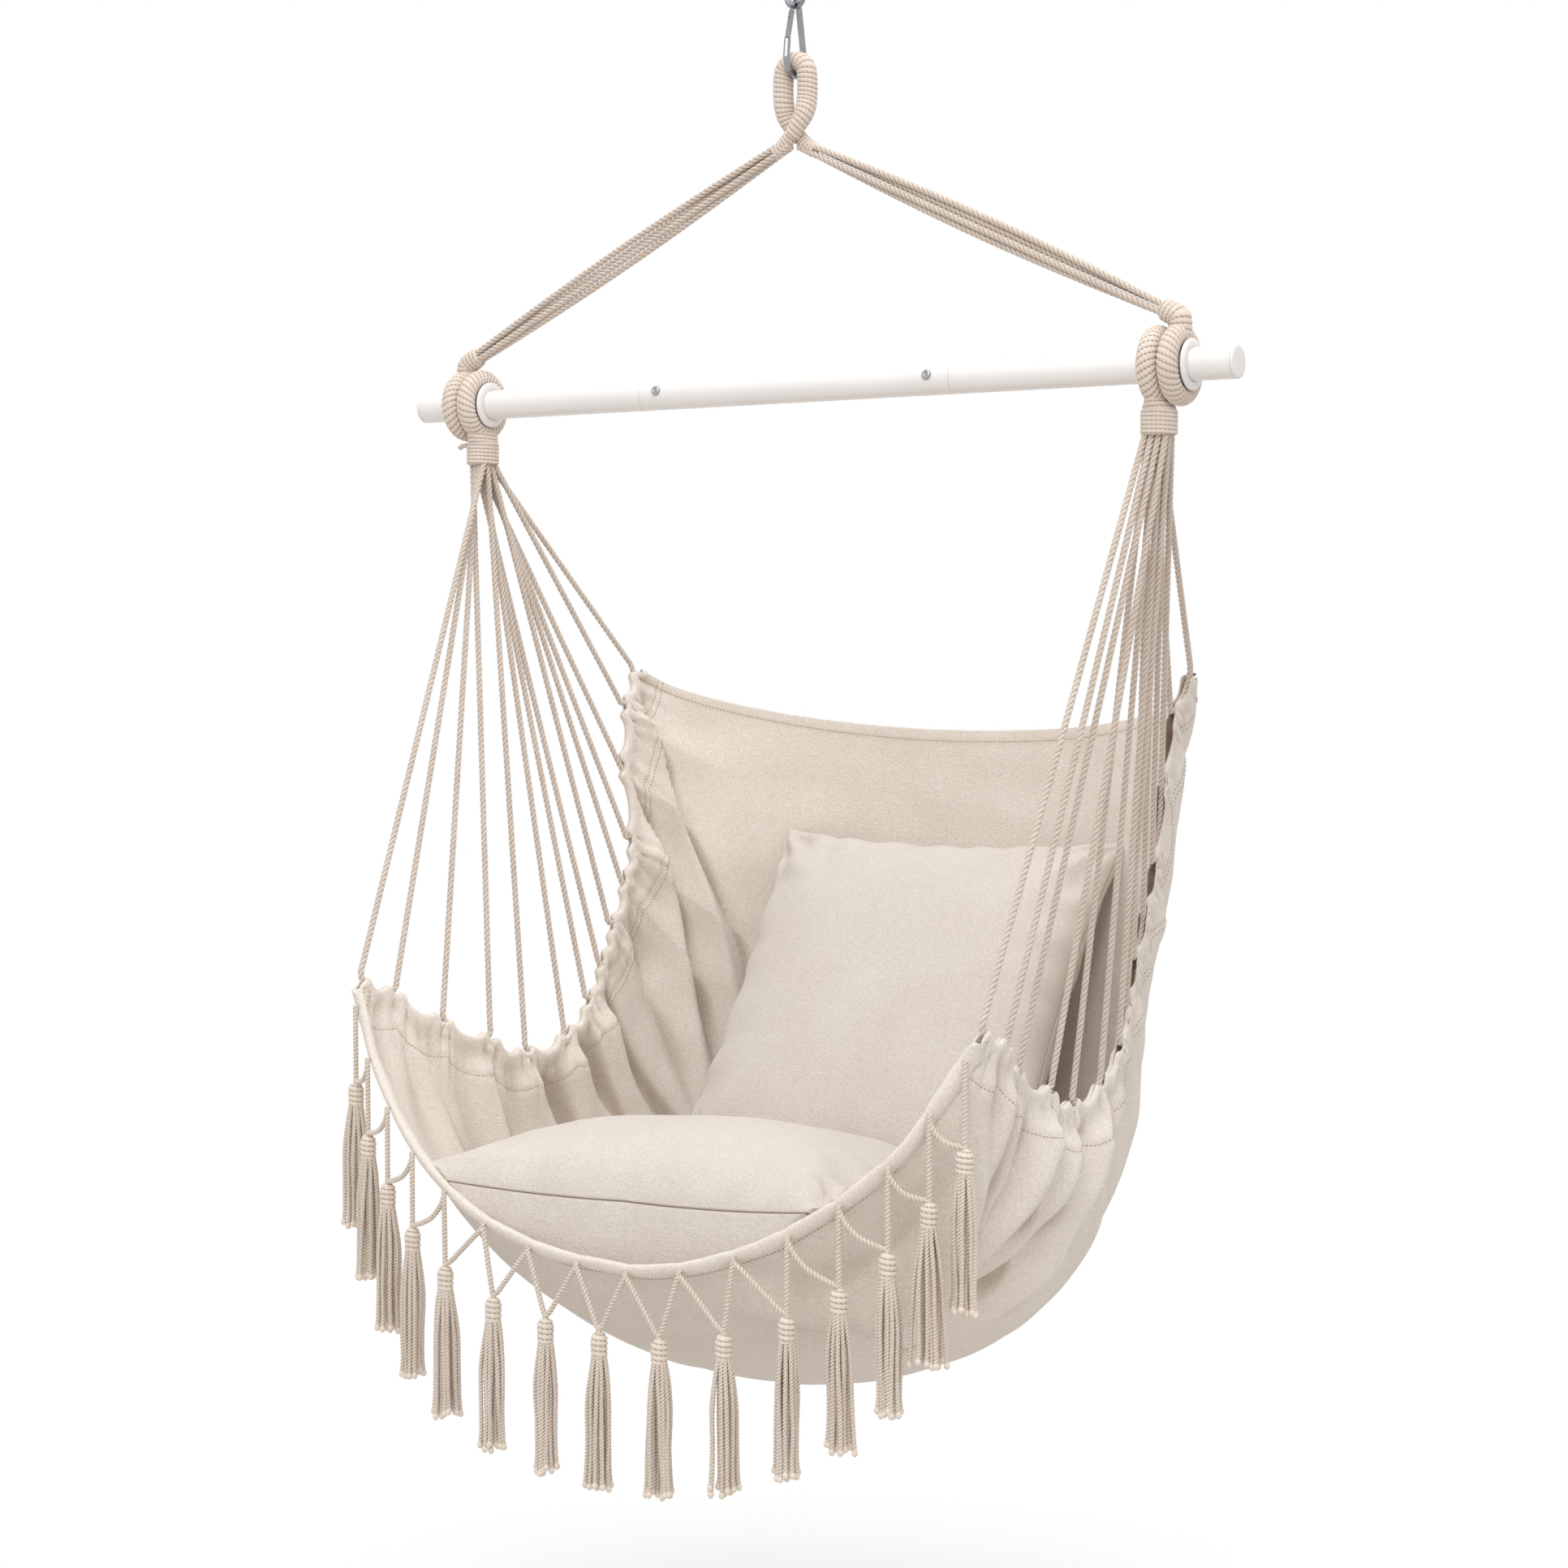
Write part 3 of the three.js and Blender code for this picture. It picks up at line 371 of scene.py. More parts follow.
class Look(Nodes):
    """A procedural material built up from a Principled shader."""

    def __init__(self, name, roughness=0.8, metallic=0.0, **inputs):
        self.m = bpy.data.materials.new(name)
        self.m.use_nodes = True
        super().__init__(self.m.node_tree)
        self.shader = self.nodes["Principled BSDF"]
        self.shader.inputs["Roughness"].default_value = roughness
        self.shader.inputs["Metallic"].default_value = metallic
        for key, value in inputs.items():
            self.shader.inputs[key.replace("_", " ")].default_value = value
        self.coords = self.nodes.new("ShaderNodeTexCoord")
        self.last_bump = None

    def space(self, uv, scale, turn=0.0):
        source = self.coords.outputs["UV" if uv else "Object"]
        return self.node("ShaderNodeMapping", {
            "Vector": source, "Scale": scale if np.ndim(scale) else (scale,) * 3, "Rotation": (0, 0, turn),
        }).outputs["Vector"]

    def noise(self, scale, detail=3.0, uv=False, rough=0.55):
        return self.node("ShaderNodeTexNoise", {
            "Vector": self.space(uv, scale), "Scale": 1.0, "Detail": detail, "Roughness": rough,
        }).outputs["Fac"]

    def wave(self, pitch, turn, distortion, detail_scale):
        """Bands across the UV map, a pitch in metres apart."""
        return self.node("ShaderNodeTexWave", {
            "Vector": self.space(True, TAU / 20 / pitch, turn), "Scale": 1.0,
            "Distortion": distortion, "Detail": 2.0, "Detail Scale": detail_scale,
        }).outputs["Fac"]

    def ramp(self, value, *stops):
        n = self.node("ShaderNodeValToRGB", {"Fac": value})
        for i, (at, colour) in enumerate(stops):
            e = n.color_ramp.elements[i] if i < 2 else n.color_ramp.elements.new(at)
            e.position, e.color = at, colour
        return n.outputs["Color"]

    def mixed(self, factor, a, b):
        mix = {0: factor, 6: a, 7: b}
        return self.node("ShaderNodeMix", mix, data_type="RGBA", blend_type="MULTIPLY").outputs[2]

    def shade_in_grooves(self, colour, *stops):
        """Darkens a colour in the grooves of its piece with painted shade."""
        relief = self.node("ShaderNodeAttribute", attribute_name="relief")
        return self.mixed(1.0, colour, self.ramp(relief.outputs["Fac"], *stops))

    def colour(self, socket):
        self.links.new(socket, self.shader.inputs["Base Color"])

    def rough(self, value, lo, hi):
        n = self.node("ShaderNodeMapRange", {"Value": value, "To Min": lo, "To Max": hi})
        self.links.new(n.outputs["Result"], self.shader.inputs["Roughness"])

    def bump(self, height, distance, strength=1.0):
        inputs = {"Height": height, "Distance": distance, "Strength": strength}
        if self.last_bump is not None:
            inputs["Normal"] = self.last_bump
        self.last_bump = self.node("ShaderNodeBump", inputs).outputs["Normal"]
        self.links.new(self.last_bump, self.shader.inputs["Normal"])


def woven(name, light, dark, thread=0.0012):
    """Plain-woven cotton: two crossed sets of threads, slubs, and a little uneven dye."""
    k = Look(name, 0.92, Sheen_Weight=0.25, Sheen_Roughness=0.5, Specular_IOR_Level=0.25)
    warp = k.wave(thread, 0.0, 3.0, 0.6)
    weft = k.wave(thread, math.pi / 2, 3.0, 0.6)
    weave = k.math("MULTIPLY", warp, weft)
    slub = k.noise((90, 900, 90), 3.0, uv=True)
    patch = k.noise(9, 4.0)
    grain = k.noise(440, 3.0, rough=0.7)
    tone = k.ramp(patch, (0.3, dark), (0.7, light))
    tone = k.mixed(0.75, tone, k.ramp(grain, (0.40, (0.87, 0.83, 0.78, 1)), (0.58, WHITE)))
    tone = k.mixed(0.35, tone, k.ramp(slub, (0.35, (0.93, 0.91, 0.88, 1)), (0.55, WHITE)))
    # Painted shade: a warm brown darkening in the cloth's hollows, along the pillows' seams and inside the
    # casing's mouths.
    tone = k.shade_in_grooves(tone, (0.0, (0.42, 0.35, 0.28, 1)), (0.8, WHITE))
    k.colour(tone)
    k.rough(grain, 0.86, 0.98)
    k.bump(grain, 0.0022, 0.8)
    k.bump(weave, 0.0003, 0.3)
    return k.m


def twisted(name, light, dark, yarn=0.0007):
    """Cotton rope: fine yarns along the strands, a fibrous surface and painted shade in the grooves."""
    k = Look(name, 0.9, Sheen_Weight=0.3, Sheen_Roughness=0.45, Specular_IOR_Level=0.2)
    yarns = k.wave(yarn, 0.6, 2.0, 0.8)
    fibre = k.noise(900, 2.0, rough=0.7)
    patch = k.noise(22, 4.0)
    tone = k.ramp(patch, (0.3, dark), (0.68, light))
    tone = k.mixed(0.5, tone, k.ramp(fibre, (0.34, (0.88, 0.85, 0.81, 1)), (0.6, WHITE)))
    # Painted shade darkens the grooves between the strands and the turns.
    tone = k.shade_in_grooves(tone, (0.0, (0.50, 0.43, 0.37, 1)), (0.5, (0.98, 0.97, 0.96, 1)))
    k.colour(tone)
    k.rough(fibre, 0.82, 0.97)
    k.bump(fibre, 0.0005, 0.6)
    k.bump(yarns, 0.0002, 0.35)
    return k.m


def metal(name, colour, lo, hi):
    """Smooth metal with smudges and fine scratches, between two roughnesses."""
    k = Look(name, lo, 1.0)
    smudge = k.noise(60, 5.0)
    scratch = k.noise((40, 40, 900), 3.0)
    k.colour(k.mixed(1.0, colour, k.ramp(smudge, (0.3, (0.86, 0.86, 0.87, 1)), (0.7, WHITE))))
    k.rough(scratch, lo, hi)
    k.bump(scratch, 0.00002, 0.4)
    return k.m


def coated(name, colour, lo, hi, coat=0.25):
    """Paint or plastic under a thin clear coat, a little clouded, with a fine orange peel."""
    k = Look(name, lo, Coat_Weight=coat, Coat_Roughness=0.2)
    cloud = k.noise(14, 4.0)
    peel = k.noise(650, 2.0)
    k.colour(k.mixed(1.0, colour, k.ramp(cloud, (0.3, (0.965, 0.965, 0.97, 1)), (0.7, WHITE))))
    k.rough(cloud, lo, hi)
    k.bump(peel, 0.00003, 0.5)
    return k.m


# Finishes. The hook's steel is a material alone, since it goes on the CAD's own nodes.
canvas = "seat_canvas", woven("canvas", srgb(251, 244, 236), srgb(248, 239, 230))
pillow_cotton = "cushion_canvas", woven("pillow_cotton", srgb(234, 227, 220), srgb(228, 219, 212), 0.0010)
rope = "rope_cotton", twisted("rope_cotton", srgb(240, 229, 219), srgb(231, 218, 207))
tassel_rope = "tassel_cotton", twisted("tassel_cotton", srgb(247, 237, 227), srgb(241, 229, 217), 0.0006)
thread = "seat_canvas", twisted("sewing_thread", srgb(182, 163, 144), srgb(168, 149, 130), 0.0003)
steel = metal("hook_steel", srgb(158, 160, 164), 0.14, 0.28)
zinc = "zinc_link", metal("zinc_link", srgb(152, 154, 158), 0.2, 0.36)
joint_steel = "joint_steel", metal("joint_steel", srgb(176, 178, 182), 0.25, 0.4)
paint = "white_paint", coated("white_paint", srgb(245, 242, 240), 0.32, 0.42)
plastic = "white_plastic", coated("white_plastic", srgb(243, 240, 238), 0.42, 0.52, coat=0.05)

# ---- camera
azimuth, distance, pitch = math.radians(33), 3000, math.radians(2.78)
aside, below_bar = -11.7, 268
cam_right = np.array([math.cos(azimuth), math.sin(azimuth), 0])
cam_ahead = np.array([-math.sin(azimuth), math.cos(azimuth), 0])
cam_place = -cam_ahead * distance + cam_right * aside + Z * (bar_z - below_bar)
lens_px, photo_px, sensor_mm = 3528, 1932, 36
cam = bpy.data.cameras.new("camera")
cam.sensor_width = sensor_mm
cam.lens = lens_px / photo_px * sensor_mm
cam.clip_start, cam.clip_end = 0.1, 60
camera = bpy.data.objects.new("camera", cam)
camera.location = Vector(cam_place * MM)
look_along = cam_ahead * math.cos(pitch) - Z * math.sin(pitch)
camera.rotation_mode = "QUATERNION"
camera.rotation_quaternion = Vector(look_along).to_track_quat("-Z", "Y")
bpy.context.scene.collection.objects.link(camera)
bpy.context.scene.camera = camera

# ---- seat cloth
def edge_line(s, t):
    reach = smooth(edge_reach, t)
    return np.stack([
        s * seat_half_width * smooth(edge_width, t),
        reach * np.where(reach < 0, seat_front, seat_back),
        bar_z - seat_low * smooth(edge_drop, t),
    ], -1)


def out_line(s, t):
    """The way out of the casing, towards the collar and square to the edge."""
    here = edge_line(s, t)
    step = 1 / (stations - 1)
    along = unit(edge_line(s, np.clip(t + step, 0, 1)) - edge_line(s, np.clip(t - step, 0, 1)))
    out = unit(np.array([s * lower_eye_x, 0, leg_top]) - here)
    return unit(out - (out * along).sum(-1, keepdims=True) * along)


def leg_place(t):
    """How far along the legs a share of the edge is, and the distance in mm to the nearest leg."""
    phi = t * (legs - 1)
    lo, hi = np.clip(t - 0.01, 0, 1), np.clip(t + 0.01, 0, 1)
    pitch_mm = np.linalg.norm(edge_line(1, hi) - edge_line(1, lo), axis=-1) / (hi - lo) / (legs - 1)
    return phi, (phi - np.round(phi)) * pitch_mm


def sag_line(t):
    """How far the edge hangs in between the legs."""
    return scallop * np.abs(np.sin(math.pi * (t * (legs - 1)))) ** 0.8


def cord_point(s, t):
    """A point of the seat cord in the casing of side s."""
    t = np.array([t])
    return (edge_line(s, t) - out_line(s, t) * sag_line(t)[..., None])[0]


centre_points = [
    (0, r * (cloth_front if r < 0 else cloth_rear), bar_z - cloth_depth * d)
    for r, d in zip(centre_reach, centre_drop)
]
centre_dense = centripetal(centre_points, np.linspace(0, 1, 2001))


def centre_line(t):
    at = lengths(centre_dense)
    return points_at(t * at[-1], at, centre_dense)


casing_roll = 5.4
gather_depth, corner_round = 4.2, 11
# Each pleat: where it leaves the edge in legs, its lean in legs for each mm, its depth in mm,
# its width in legs, and its reach in mm.
left_pleats = [
    (1.4, 0.004, 9, 0.7, 260), (2.7, 0.003, 12, 0.65, 280), (4.0, 0.004, 15, 0.65, 320),
    (5.15, 0.003, 19, 0.8, 380), (6.45, 0.0, 25, 1.1, 420), (8.4, -0.006, 11, 1.0, 360),
    (10.8, -0.0127, 30, 1.5, 440), (12.6, -0.015, 24, 1.4, 420),
]
right_pleats = [
    (0.45, 0.006, 13, 0.7, 420), (1.35, 0.001, 19, 0.8, 500), (2.25, -0.003, 14, 0.75, 440),
    (3.25, -0.006, 26, 0.95, 560), (4.3, -0.009, 20, 0.9, 540), (5.3, -0.009, 27, 0.95, 560),
    (6.5, -0.01, 13, 0.9, 460), (8.1, -0.012, 8, 1.1, 400), (10.2, -0.013, 6, 1.2, 380),
    (12.4, -0.014, 6, 1.2, 380),
]
lean_from = [0, 1.35, 3.3, 5.2, 6.5, 8.4, 10.8, 13]
lean_left = [0.005, 0.004, 0.003, 0.003, 0, -0.006, -0.0127, -0.016]
lean_right = [0.006, 0.001, -0.006, -0.009, -0.01, -0.012, -0.013, -0.015]
seam_inset = 46
per_leg, middle_columns = 24, 150
# Distances of the grid's columns from the casing's outer edge.
edge_steps = np.array([
    0, .5, 1.3, 2.4, 3.8, 5.4, 7.4, 9.8, 12.6, 16, 20, 25, 30, 35, 39.5, 43, 45, 46, 47, 49, 53, 59, 66, 75,
])


def leg_shares():
    """Shares of the edge, closer together by each leg."""
    x = np.linspace(0, 1, per_leg + 1)[:-1]
    x = x - 0.11 * np.sin(TAU * x)
    t = (np.arange(legs - 1)[:, None] + x[None]).ravel() / (legs - 1)
    return np.r_[t, 1.0]


def ripples(p, scale, seed):
    """A smooth irregular field over points, from -1 to 1."""
    r = np.random.default_rng(seed)
    total = 0
    for _ in range(7):
        k = unit(r.normal(size=3)) * TAU / scale * r.uniform(0.6, 1.5)
        total = total + np.sin(p @ k + r.uniform(0, TAU))
    return total / 3.2


def cloth_middle():
    """The middle surface of the cloth before its folds.

    Gives the rows' shares of the edge, the columns' shares from -1 to 1, each point's distance from the
    casing's outer edge, the columns' sides, the way out of the casing, and the points."""
    t = leg_shares()
    right = edge_line(1, t)
    mid = centre_line(t)
    section = smooth(section_shares, t)
    u = np.linspace(-1, 1, 901)

    def base(uu):
        share = np.maximum(np.cos(uu * math.pi / 2), 0) ** section[:, None]
        p = np.empty(uu.shape + (3,))
        for k in (1, 2):
            p[..., k] = right[:, k, None] + (mid[:, k] - right[:, k])[:, None] * share
        p[..., 0] = right[:, 0, None] * np.sin(uu * math.pi / 2)
        return p

    fine = base(np.broadcast_to(u, (len(t), len(u))))
    at = np.cumsum(np.linalg.norm(np.diff(fine, axis=1), axis=-1), axis=1)
    at = np.concatenate([np.zeros((len(t), 1)), at], 1)
    total = at[:, -1]
    edge_d = edge_steps - casing_roll
    in_sheet = np.maximum(edge_d, 0)
    cols = 2 * len(edge_steps) + middle_columns
    uu = np.zeros((len(t), cols))
    dist = np.zeros((len(t), cols))
    for r in range(len(t)):
        mids = np.linspace(edge_d[-1], total[r] - edge_d[-1], middle_columns + 2)[1:-1]
        want = np.r_[in_sheet, mids, total[r] - in_sheet[::-1]]
        uu[r] = np.interp(want, at[r], u)
        dist[r] = np.minimum(want, total[r] - want)
    p = base(uu)
    beyond = np.where(edge_d > 0, 0, -edge_d)
    beyond = np.r_[beyond, np.zeros(middle_columns), beyond[::-1]]
    dist = dist + casing_roll - beyond[None]
    side = np.where(np.arange(cols) < cols / 2, -1, 1)
    out = np.where((side < 0)[None, :, None], out_line(-1, t)[:, None], out_line(1, t)[:, None])
    p = p + out * beyond[None, :, None]
    # The turn from the casing into the sheet is softened.
    for _ in range(14):
        q = p.copy()
        w = 0.5 * np.clip((70 - dist[:, 1:-1]) / 60, 0, 1) * (dist[:, 1:-1] > casing_roll)
        q[:, 1:-1] += w[..., None] * ((p[:, :-2] + p[:, 2:]) / 2 - p[:, 1:-1])
        p = q
    return t, uu, dist, side, out, p


def normals_of(p):
    return unit(np.cross(np.gradient(p, axis=0), np.gradient(p, axis=1)))


def pleated(ph, dist, lines):
    """The height of a set of pleats, each with a long rise and a short drop towards the back."""
    height = 0 * dist
    for start, lean, depth, width, reach in lines:
        x = ph - (start + lean * dist)
        drop = within(x, -0.1 - 0.0006 * dist, 0.14 + 0.0014 * dist)
        ridge = linear(x, -width, -0.04) ** 1.3 * (1 - drop)
        valley = 0.45 * bell(x - 0.22, 0.17)
        fade = within(dist, 6, 55) * bell(np.maximum(dist - 0.45 * reach, 0), 0.5 * reach)
        height = height + depth * (ridge - valley) * fade
    return height


def folded_cloth():
    """The middle surface of the cloth with its folds, its rows' and columns' places and the way out."""
    t, uu, dist, side, out, p = cloth_middle()
    phi, away = leg_place(t)
    n = normals_of(p)
    size = np.abs(uu)
    near = linear(size, 0.6, 1)
    left = (side < 0)[None]
    ph = np.broadcast_to(phi[:, None], p.shape[:2])
    # The inner side of the left wall and the outer side of the right one have the pleats' crisp ridges.
    folds = np.where(left, -pleated(ph, dist, left_pleats), pleated(ph, dist, right_pleats))
    # The right wall comes in beside the cushions and goes out again towards its upper back corner.
    near_edge = 1 - within(dist, 130, 230)
    again = 11 - 7 * within(ph, 8, 10.4) - 24 * within(ph, 10.6, 13.2)
    inward = within(ph, 3.2, 6) * (12 + near_edge * again)
    folds = folds - np.where(left, 0, inward * within(dist, 15, 130))
    folds = folds * within(size, 0.02, 0.66) * (0.15 + 0.85 * within(t, 0.0, 0.07)[:, None])
    # Small gathers run down from each notch.
    lean = np.where(left, np.interp(ph, lean_from, lean_left), np.interp(ph, lean_from, lean_right))
    beside = ph - lean * dist + np.where(left, 0.05, -0.03)
    crest = 1 - 1.75 * np.abs(np.sin(math.pi * beside)) ** 0.6
    uneven = 0.75 + 0.35 * np.sin(1.9 * ph + 0.7 + np.where(left, 0, 2))
    gathers = (1.5 - np.where(left, 1.05, 0.8) * within(ph, 5.6, 7.4)) * gather_depth * crest * uneven
    gathers *= bell(dist, np.where(left, 75, 130)) * within(dist, 16, 60)
    ripple = -pucker * (1 - 0.5 * within(ph, 6, 8)) * np.cos(TAU * ph) * near * within(dist, 5, 45)
    ruffle_wave = np.sin(TAU * (away[:, None] / 17 + 0.4 * np.sin(3.1 * ph)) + 1.7 * ph)
    ruffle = 2.8 * ruffle_wave * bell(dist, 48) * within(dist, 6, 16)
    ruffle *= bell(away[:, None], 26) + 0.3
    soft = 2.4 * ripples(p, 210, 3) + 1.1 * ripples(p, 70, 4) * within(dist, 20, 90)
    q = p + n * (folds + ripple + gathers + ruffle + soft * within(dist, 8, 60))[..., None]
    notch = 8.5 * bell(away, 6) - 4.6 * bell(np.abs(away) - 13, 5.5)
    # The four corners are rounded.
    edge_at = lengths(edge_line(1, t))
    at_end = np.minimum(edge_at, edge_at[-1] - edge_at)
    cut = corner_round - np.sqrt(np.maximum(corner_round**2 - np.maximum(corner_round - at_end, 0) ** 2, 0))
    for inwards, reach, power in ((sag_line(t), 210, 1.3), (notch, 30, 1.2), (cut, 60, 1.5)):
        q -= out * (inwards[:, None] * np.clip(1 - dist / reach, 0, 1) ** power)[..., None]
    return t, dist, side, out, q


def cloth_half_thickness(dist):
    """Half the cloth's thickness: at the edge the cord's roll, then two layers, the seam and one layer."""
    d = np.maximum(dist, 0)
    roll = np.sqrt(np.clip(casing_roll**2 - (d - casing_roll) ** 2, 0, None))
    past = 1.5 + (casing_roll - 1.5) * bell(d - casing_roll, 13)
    h = np.where(d < casing_roll, roll, past)
    seam = bell(d - seam_inset, 1.3)
    h = h - 0.55 * seam + 0.35 * bell(d - seam_inset + 4, 2.5)
    return np.where(d > seam_inset + 1, 1.0 + (h - 1.0) * np.exp(-(d - seam_inset - 1) / 3), h)


def sheet_faces(rows, cols, flip=False):
    """Quads of a closed sheet: two layers of one grid of points, and the rim between them."""
    i, j = np.meshgrid(np.arange(rows - 1), np.arange(cols - 1), indexing="ij")
    a = (i * cols + j).ravel()
    b = a + cols
    top, bottom = np.stack([a, b, b + 1, a + 1], -1), np.stack([a, a + 1, b + 1, b], -1)
    count = rows * cols
    loop = np.r_[np.arange(cols), np.arange(1, rows) * cols + cols - 1,
                 (rows - 1) * cols + np.arange(cols - 2, -1, -1), np.arange(rows - 2, 0, -1) * cols]
    after = np.roll(loop, -1)
    if flip:
        rim = np.stack([loop, loop + count, after + count, after], -1)
        return np.vstack([bottom, top + count, rim])
    rim = np.stack([loop, after, after + count, loop + count], -1)
    return np.vstack([top, bottom + count, rim])


def sheet_of(p, n, h, uv):
    """A closed sheet round a grid of points: its points, quads and the quads' UVs."""
    upper, lower = p + n * h[..., None], p - n * h[..., None]
    v = np.concatenate([upper.reshape(-1, 3), lower.reshape(-1, 3)])
    quads = sheet_faces(*p.shape[:2])
    flat_uv = uv.reshape(-1, 2)
    return v, quads, np.vstack([flat_uv, flat_uv])[quads]


cloth_t, cloth_d, cloth_side, cloth_out, cloth_p = folded_cloth()
cloth_n = normals_of(cloth_p)
across = lengths(cloth_p[len(cloth_p) // 2])
down = lengths(cloth_p[:, cloth_p.shape[1] // 2])
back_hem_width, front_hem_width = 13, 15
to_back = (down[-1] - down)[:, None]
back_hem = within(-to_back, -back_hem_width - 1, -back_hem_width + 1)
cloth_h = cloth_half_thickness(cloth_d) + 0.9 * back_hem * (cloth_d > 12)
cloth_uv = np.stack(np.broadcast_arrays(across[None], down[:, None]), -1)
# The inside of a casing's mouth: how deep each added column lies, as a share, and its painted shade, darker
# further in.
slot_shares = np.array([1, 0.82, 0.6, 0.36, 0.14])
slot_relief = np.array([0, 0.1, 0.25, 0.45, 0.75])


def gape(t, s):
    """How far the casing's mouth stands open along an edge, from 0 to 1.

    It opens at each leg, and on the right also below each leg of the back."""
    phi, away = leg_place(t)
    below = np.ceil(phi) - phi
    lens = np.sin(math.pi * np.clip(below / 0.86, 0, 1) ** 0.55)
    at_leg = (0.6 if s > 0 else 0.3) * bell(away, 9)
    return np.clip(np.maximum(at_leg, (s > 0) * lens * within(phi, 6.6, 7.4)), 0, 1)


def with_mouths(p, n, h, uv, dist):
    """The rows of the cloth with the inside of the casing's mouths added at both ends, and their painted
    shade.
    """
    h = h.copy()
    ends = {}
    more = len(slot_shares)
    for s, rim in ((-1, 0), (1, -1)):
        wide = gape(cloth_t, s)
        depth, gap = 1.5 + 12.5 * wide, 0.12 + 4.6 * wide
        lip = gap[:, None] + 0.65 + 0.55 * within(dist, 0, 0.8)
        here = (cloth_side == s)[None] & (dist < 9)
        h = np.where(here, np.maximum(h, lip * (1 - within(dist, 4, 9))), h)
        inner = p[:, rim][:, None] - cloth_out[:, rim][:, None] * (depth[:, None] * slot_shares)[..., None]
        rim_n, rim_uv = (np.repeat(one[:, rim][:, None], more, 1) for one in (n, uv))
        ends[s] = (inner, rim_n, gap[:, None] * np.sqrt(1.02 - slot_shares**2), rim_uv,
                   np.broadcast_to(slot_relief, (len(p), more)))
    middle = (p, n, h, uv, np.ones(p.shape[:2]))
    return [np.concatenate([a, m, b[:, ::-1]], 1) for a, m, b in zip(ends[-1], middle, ends[1])]


def hollows(p, n, reach=10):
    """How deep in mm each point of a cloth lies below its surroundings along the columns."""
    weights = bell(np.arange(-2 * reach, 2 * reach + 1), reach)
    weights /= weights.sum()
    padded = np.concatenate([np.repeat(p[:1], 2 * reach, 0), p, np.repeat(p[-1:], 2 * reach, 0)])
    around = sum(w * padded[i:i + len(p)] for i, w in enumerate(weights))
    return ((around - p) * n).sum(-1)


*mouthed, mouth_relief = with_mouths(cloth_p, cloth_n, cloth_h, cloth_uv, cloth_d)
low = hollows(mouthed[0], mouthed[1])
# Painted shade darkens the cloth's hollows on each face, and the insides of the casing's mouths.
shaded = [mouth_relief * (0.8 - 0.46 * within(face * low, 1.2, 9)) for face in (1, -1)]
seat_cloth = Shape().grid(*sheet_of(*mouthed), np.concatenate([one.ravel() for one in shaded])).piece(
    "canvas_seat", "seat", canvas,
    "seat_cloth", "side_casing_left", "side_casing_right",
)


def stitched(name, lines, long=3.0, gap=1.5, radius=0.42):
    """Rows of short stitches that lie along lines of points."""
    shape = Shape()
    pitch = long + gap
    for line in lines:
        at = lengths(line)
        starts = (np.arange(int(at[-1] / pitch)) + 0.5) * pitch
        p, q = (points_at(starts + e, at, line) for e in (0, long))
        along = unit(q - p)
        a = unit(np.cross(along, Z + 0.3 * X))
        arm = round_arms(round_angles(6), a[:, None], np.cross(along, a)[:, None])
        rings = [
            (p + (q - p) * share)[:, None] + radius * size * arm
            for share, size in ((0, 0.25), (0.14, 0.85), (0.5, 1.1), (0.86, 0.85), (1, 0.25))
        ]
        for one in np.stack(rings, 1):
            shape.skin(one)
    shape.piece(name, "seat", thread)


def across_cloth(column, face, lift=0.12):
    """The line on one face of the cloth along a column of its grid."""
    return cloth_p[:, column] + face * cloth_n[:, column] * (cloth_h[:, column, None] + lift)


def along_cloth(inset, from_front, face, lift=0.12):
    """The line on one face of the cloth at a distance from its front or back edge."""
    away = down if from_front else down[-1] - down
    order = np.argsort(away)
    row = np.interp(inset, away[order], order.astype(float))
    i = int(min(row, len(down) - 2))
    w = row - i
    here, beyond = (cloth_p[r] + face * cloth_n[r] * (cloth_h[r][:, None] + lift) for r in (i, i + 1))
    return (here * (1 - w) + beyond * w)[cloth_d[i] > 7]


seam_column = int(np.argmin(np.abs(edge_steps - seam_inset)))
last = cloth_p.shape[1] - 1
for s, name in SIDES:
    column = seam_column if s < 0 else last - seam_column
    # The back half has a second row of stitches, three columns further in.
    second = column - 3 * s
    lines = [across_cloth(column, face) for face in (-1, 1)]
    lines += [across_cloth(second, face)[len(cloth_p) // 2:] for face in (-1, 1)]
    stitched(f"casing_stitches_{name}", lines)
for name, width in (("back", back_hem_width), ("front", front_hem_width)):
    stitched(f"{name}_hem_stitches", [along_cloth(width, name == "front", face) for face in (-1, 1)])

# Front hem: a soft flattened roll along the front edge.
hem_row = cloth_p[0][5:-5]
hem_line = evenly(hem_row, 3.0)
hem_at = lengths(hem_line)
hem_share = hem_at / hem_at[-1]
tassel_pitch = (hem_at[-1] - 2 * tassel_inset) / tassels


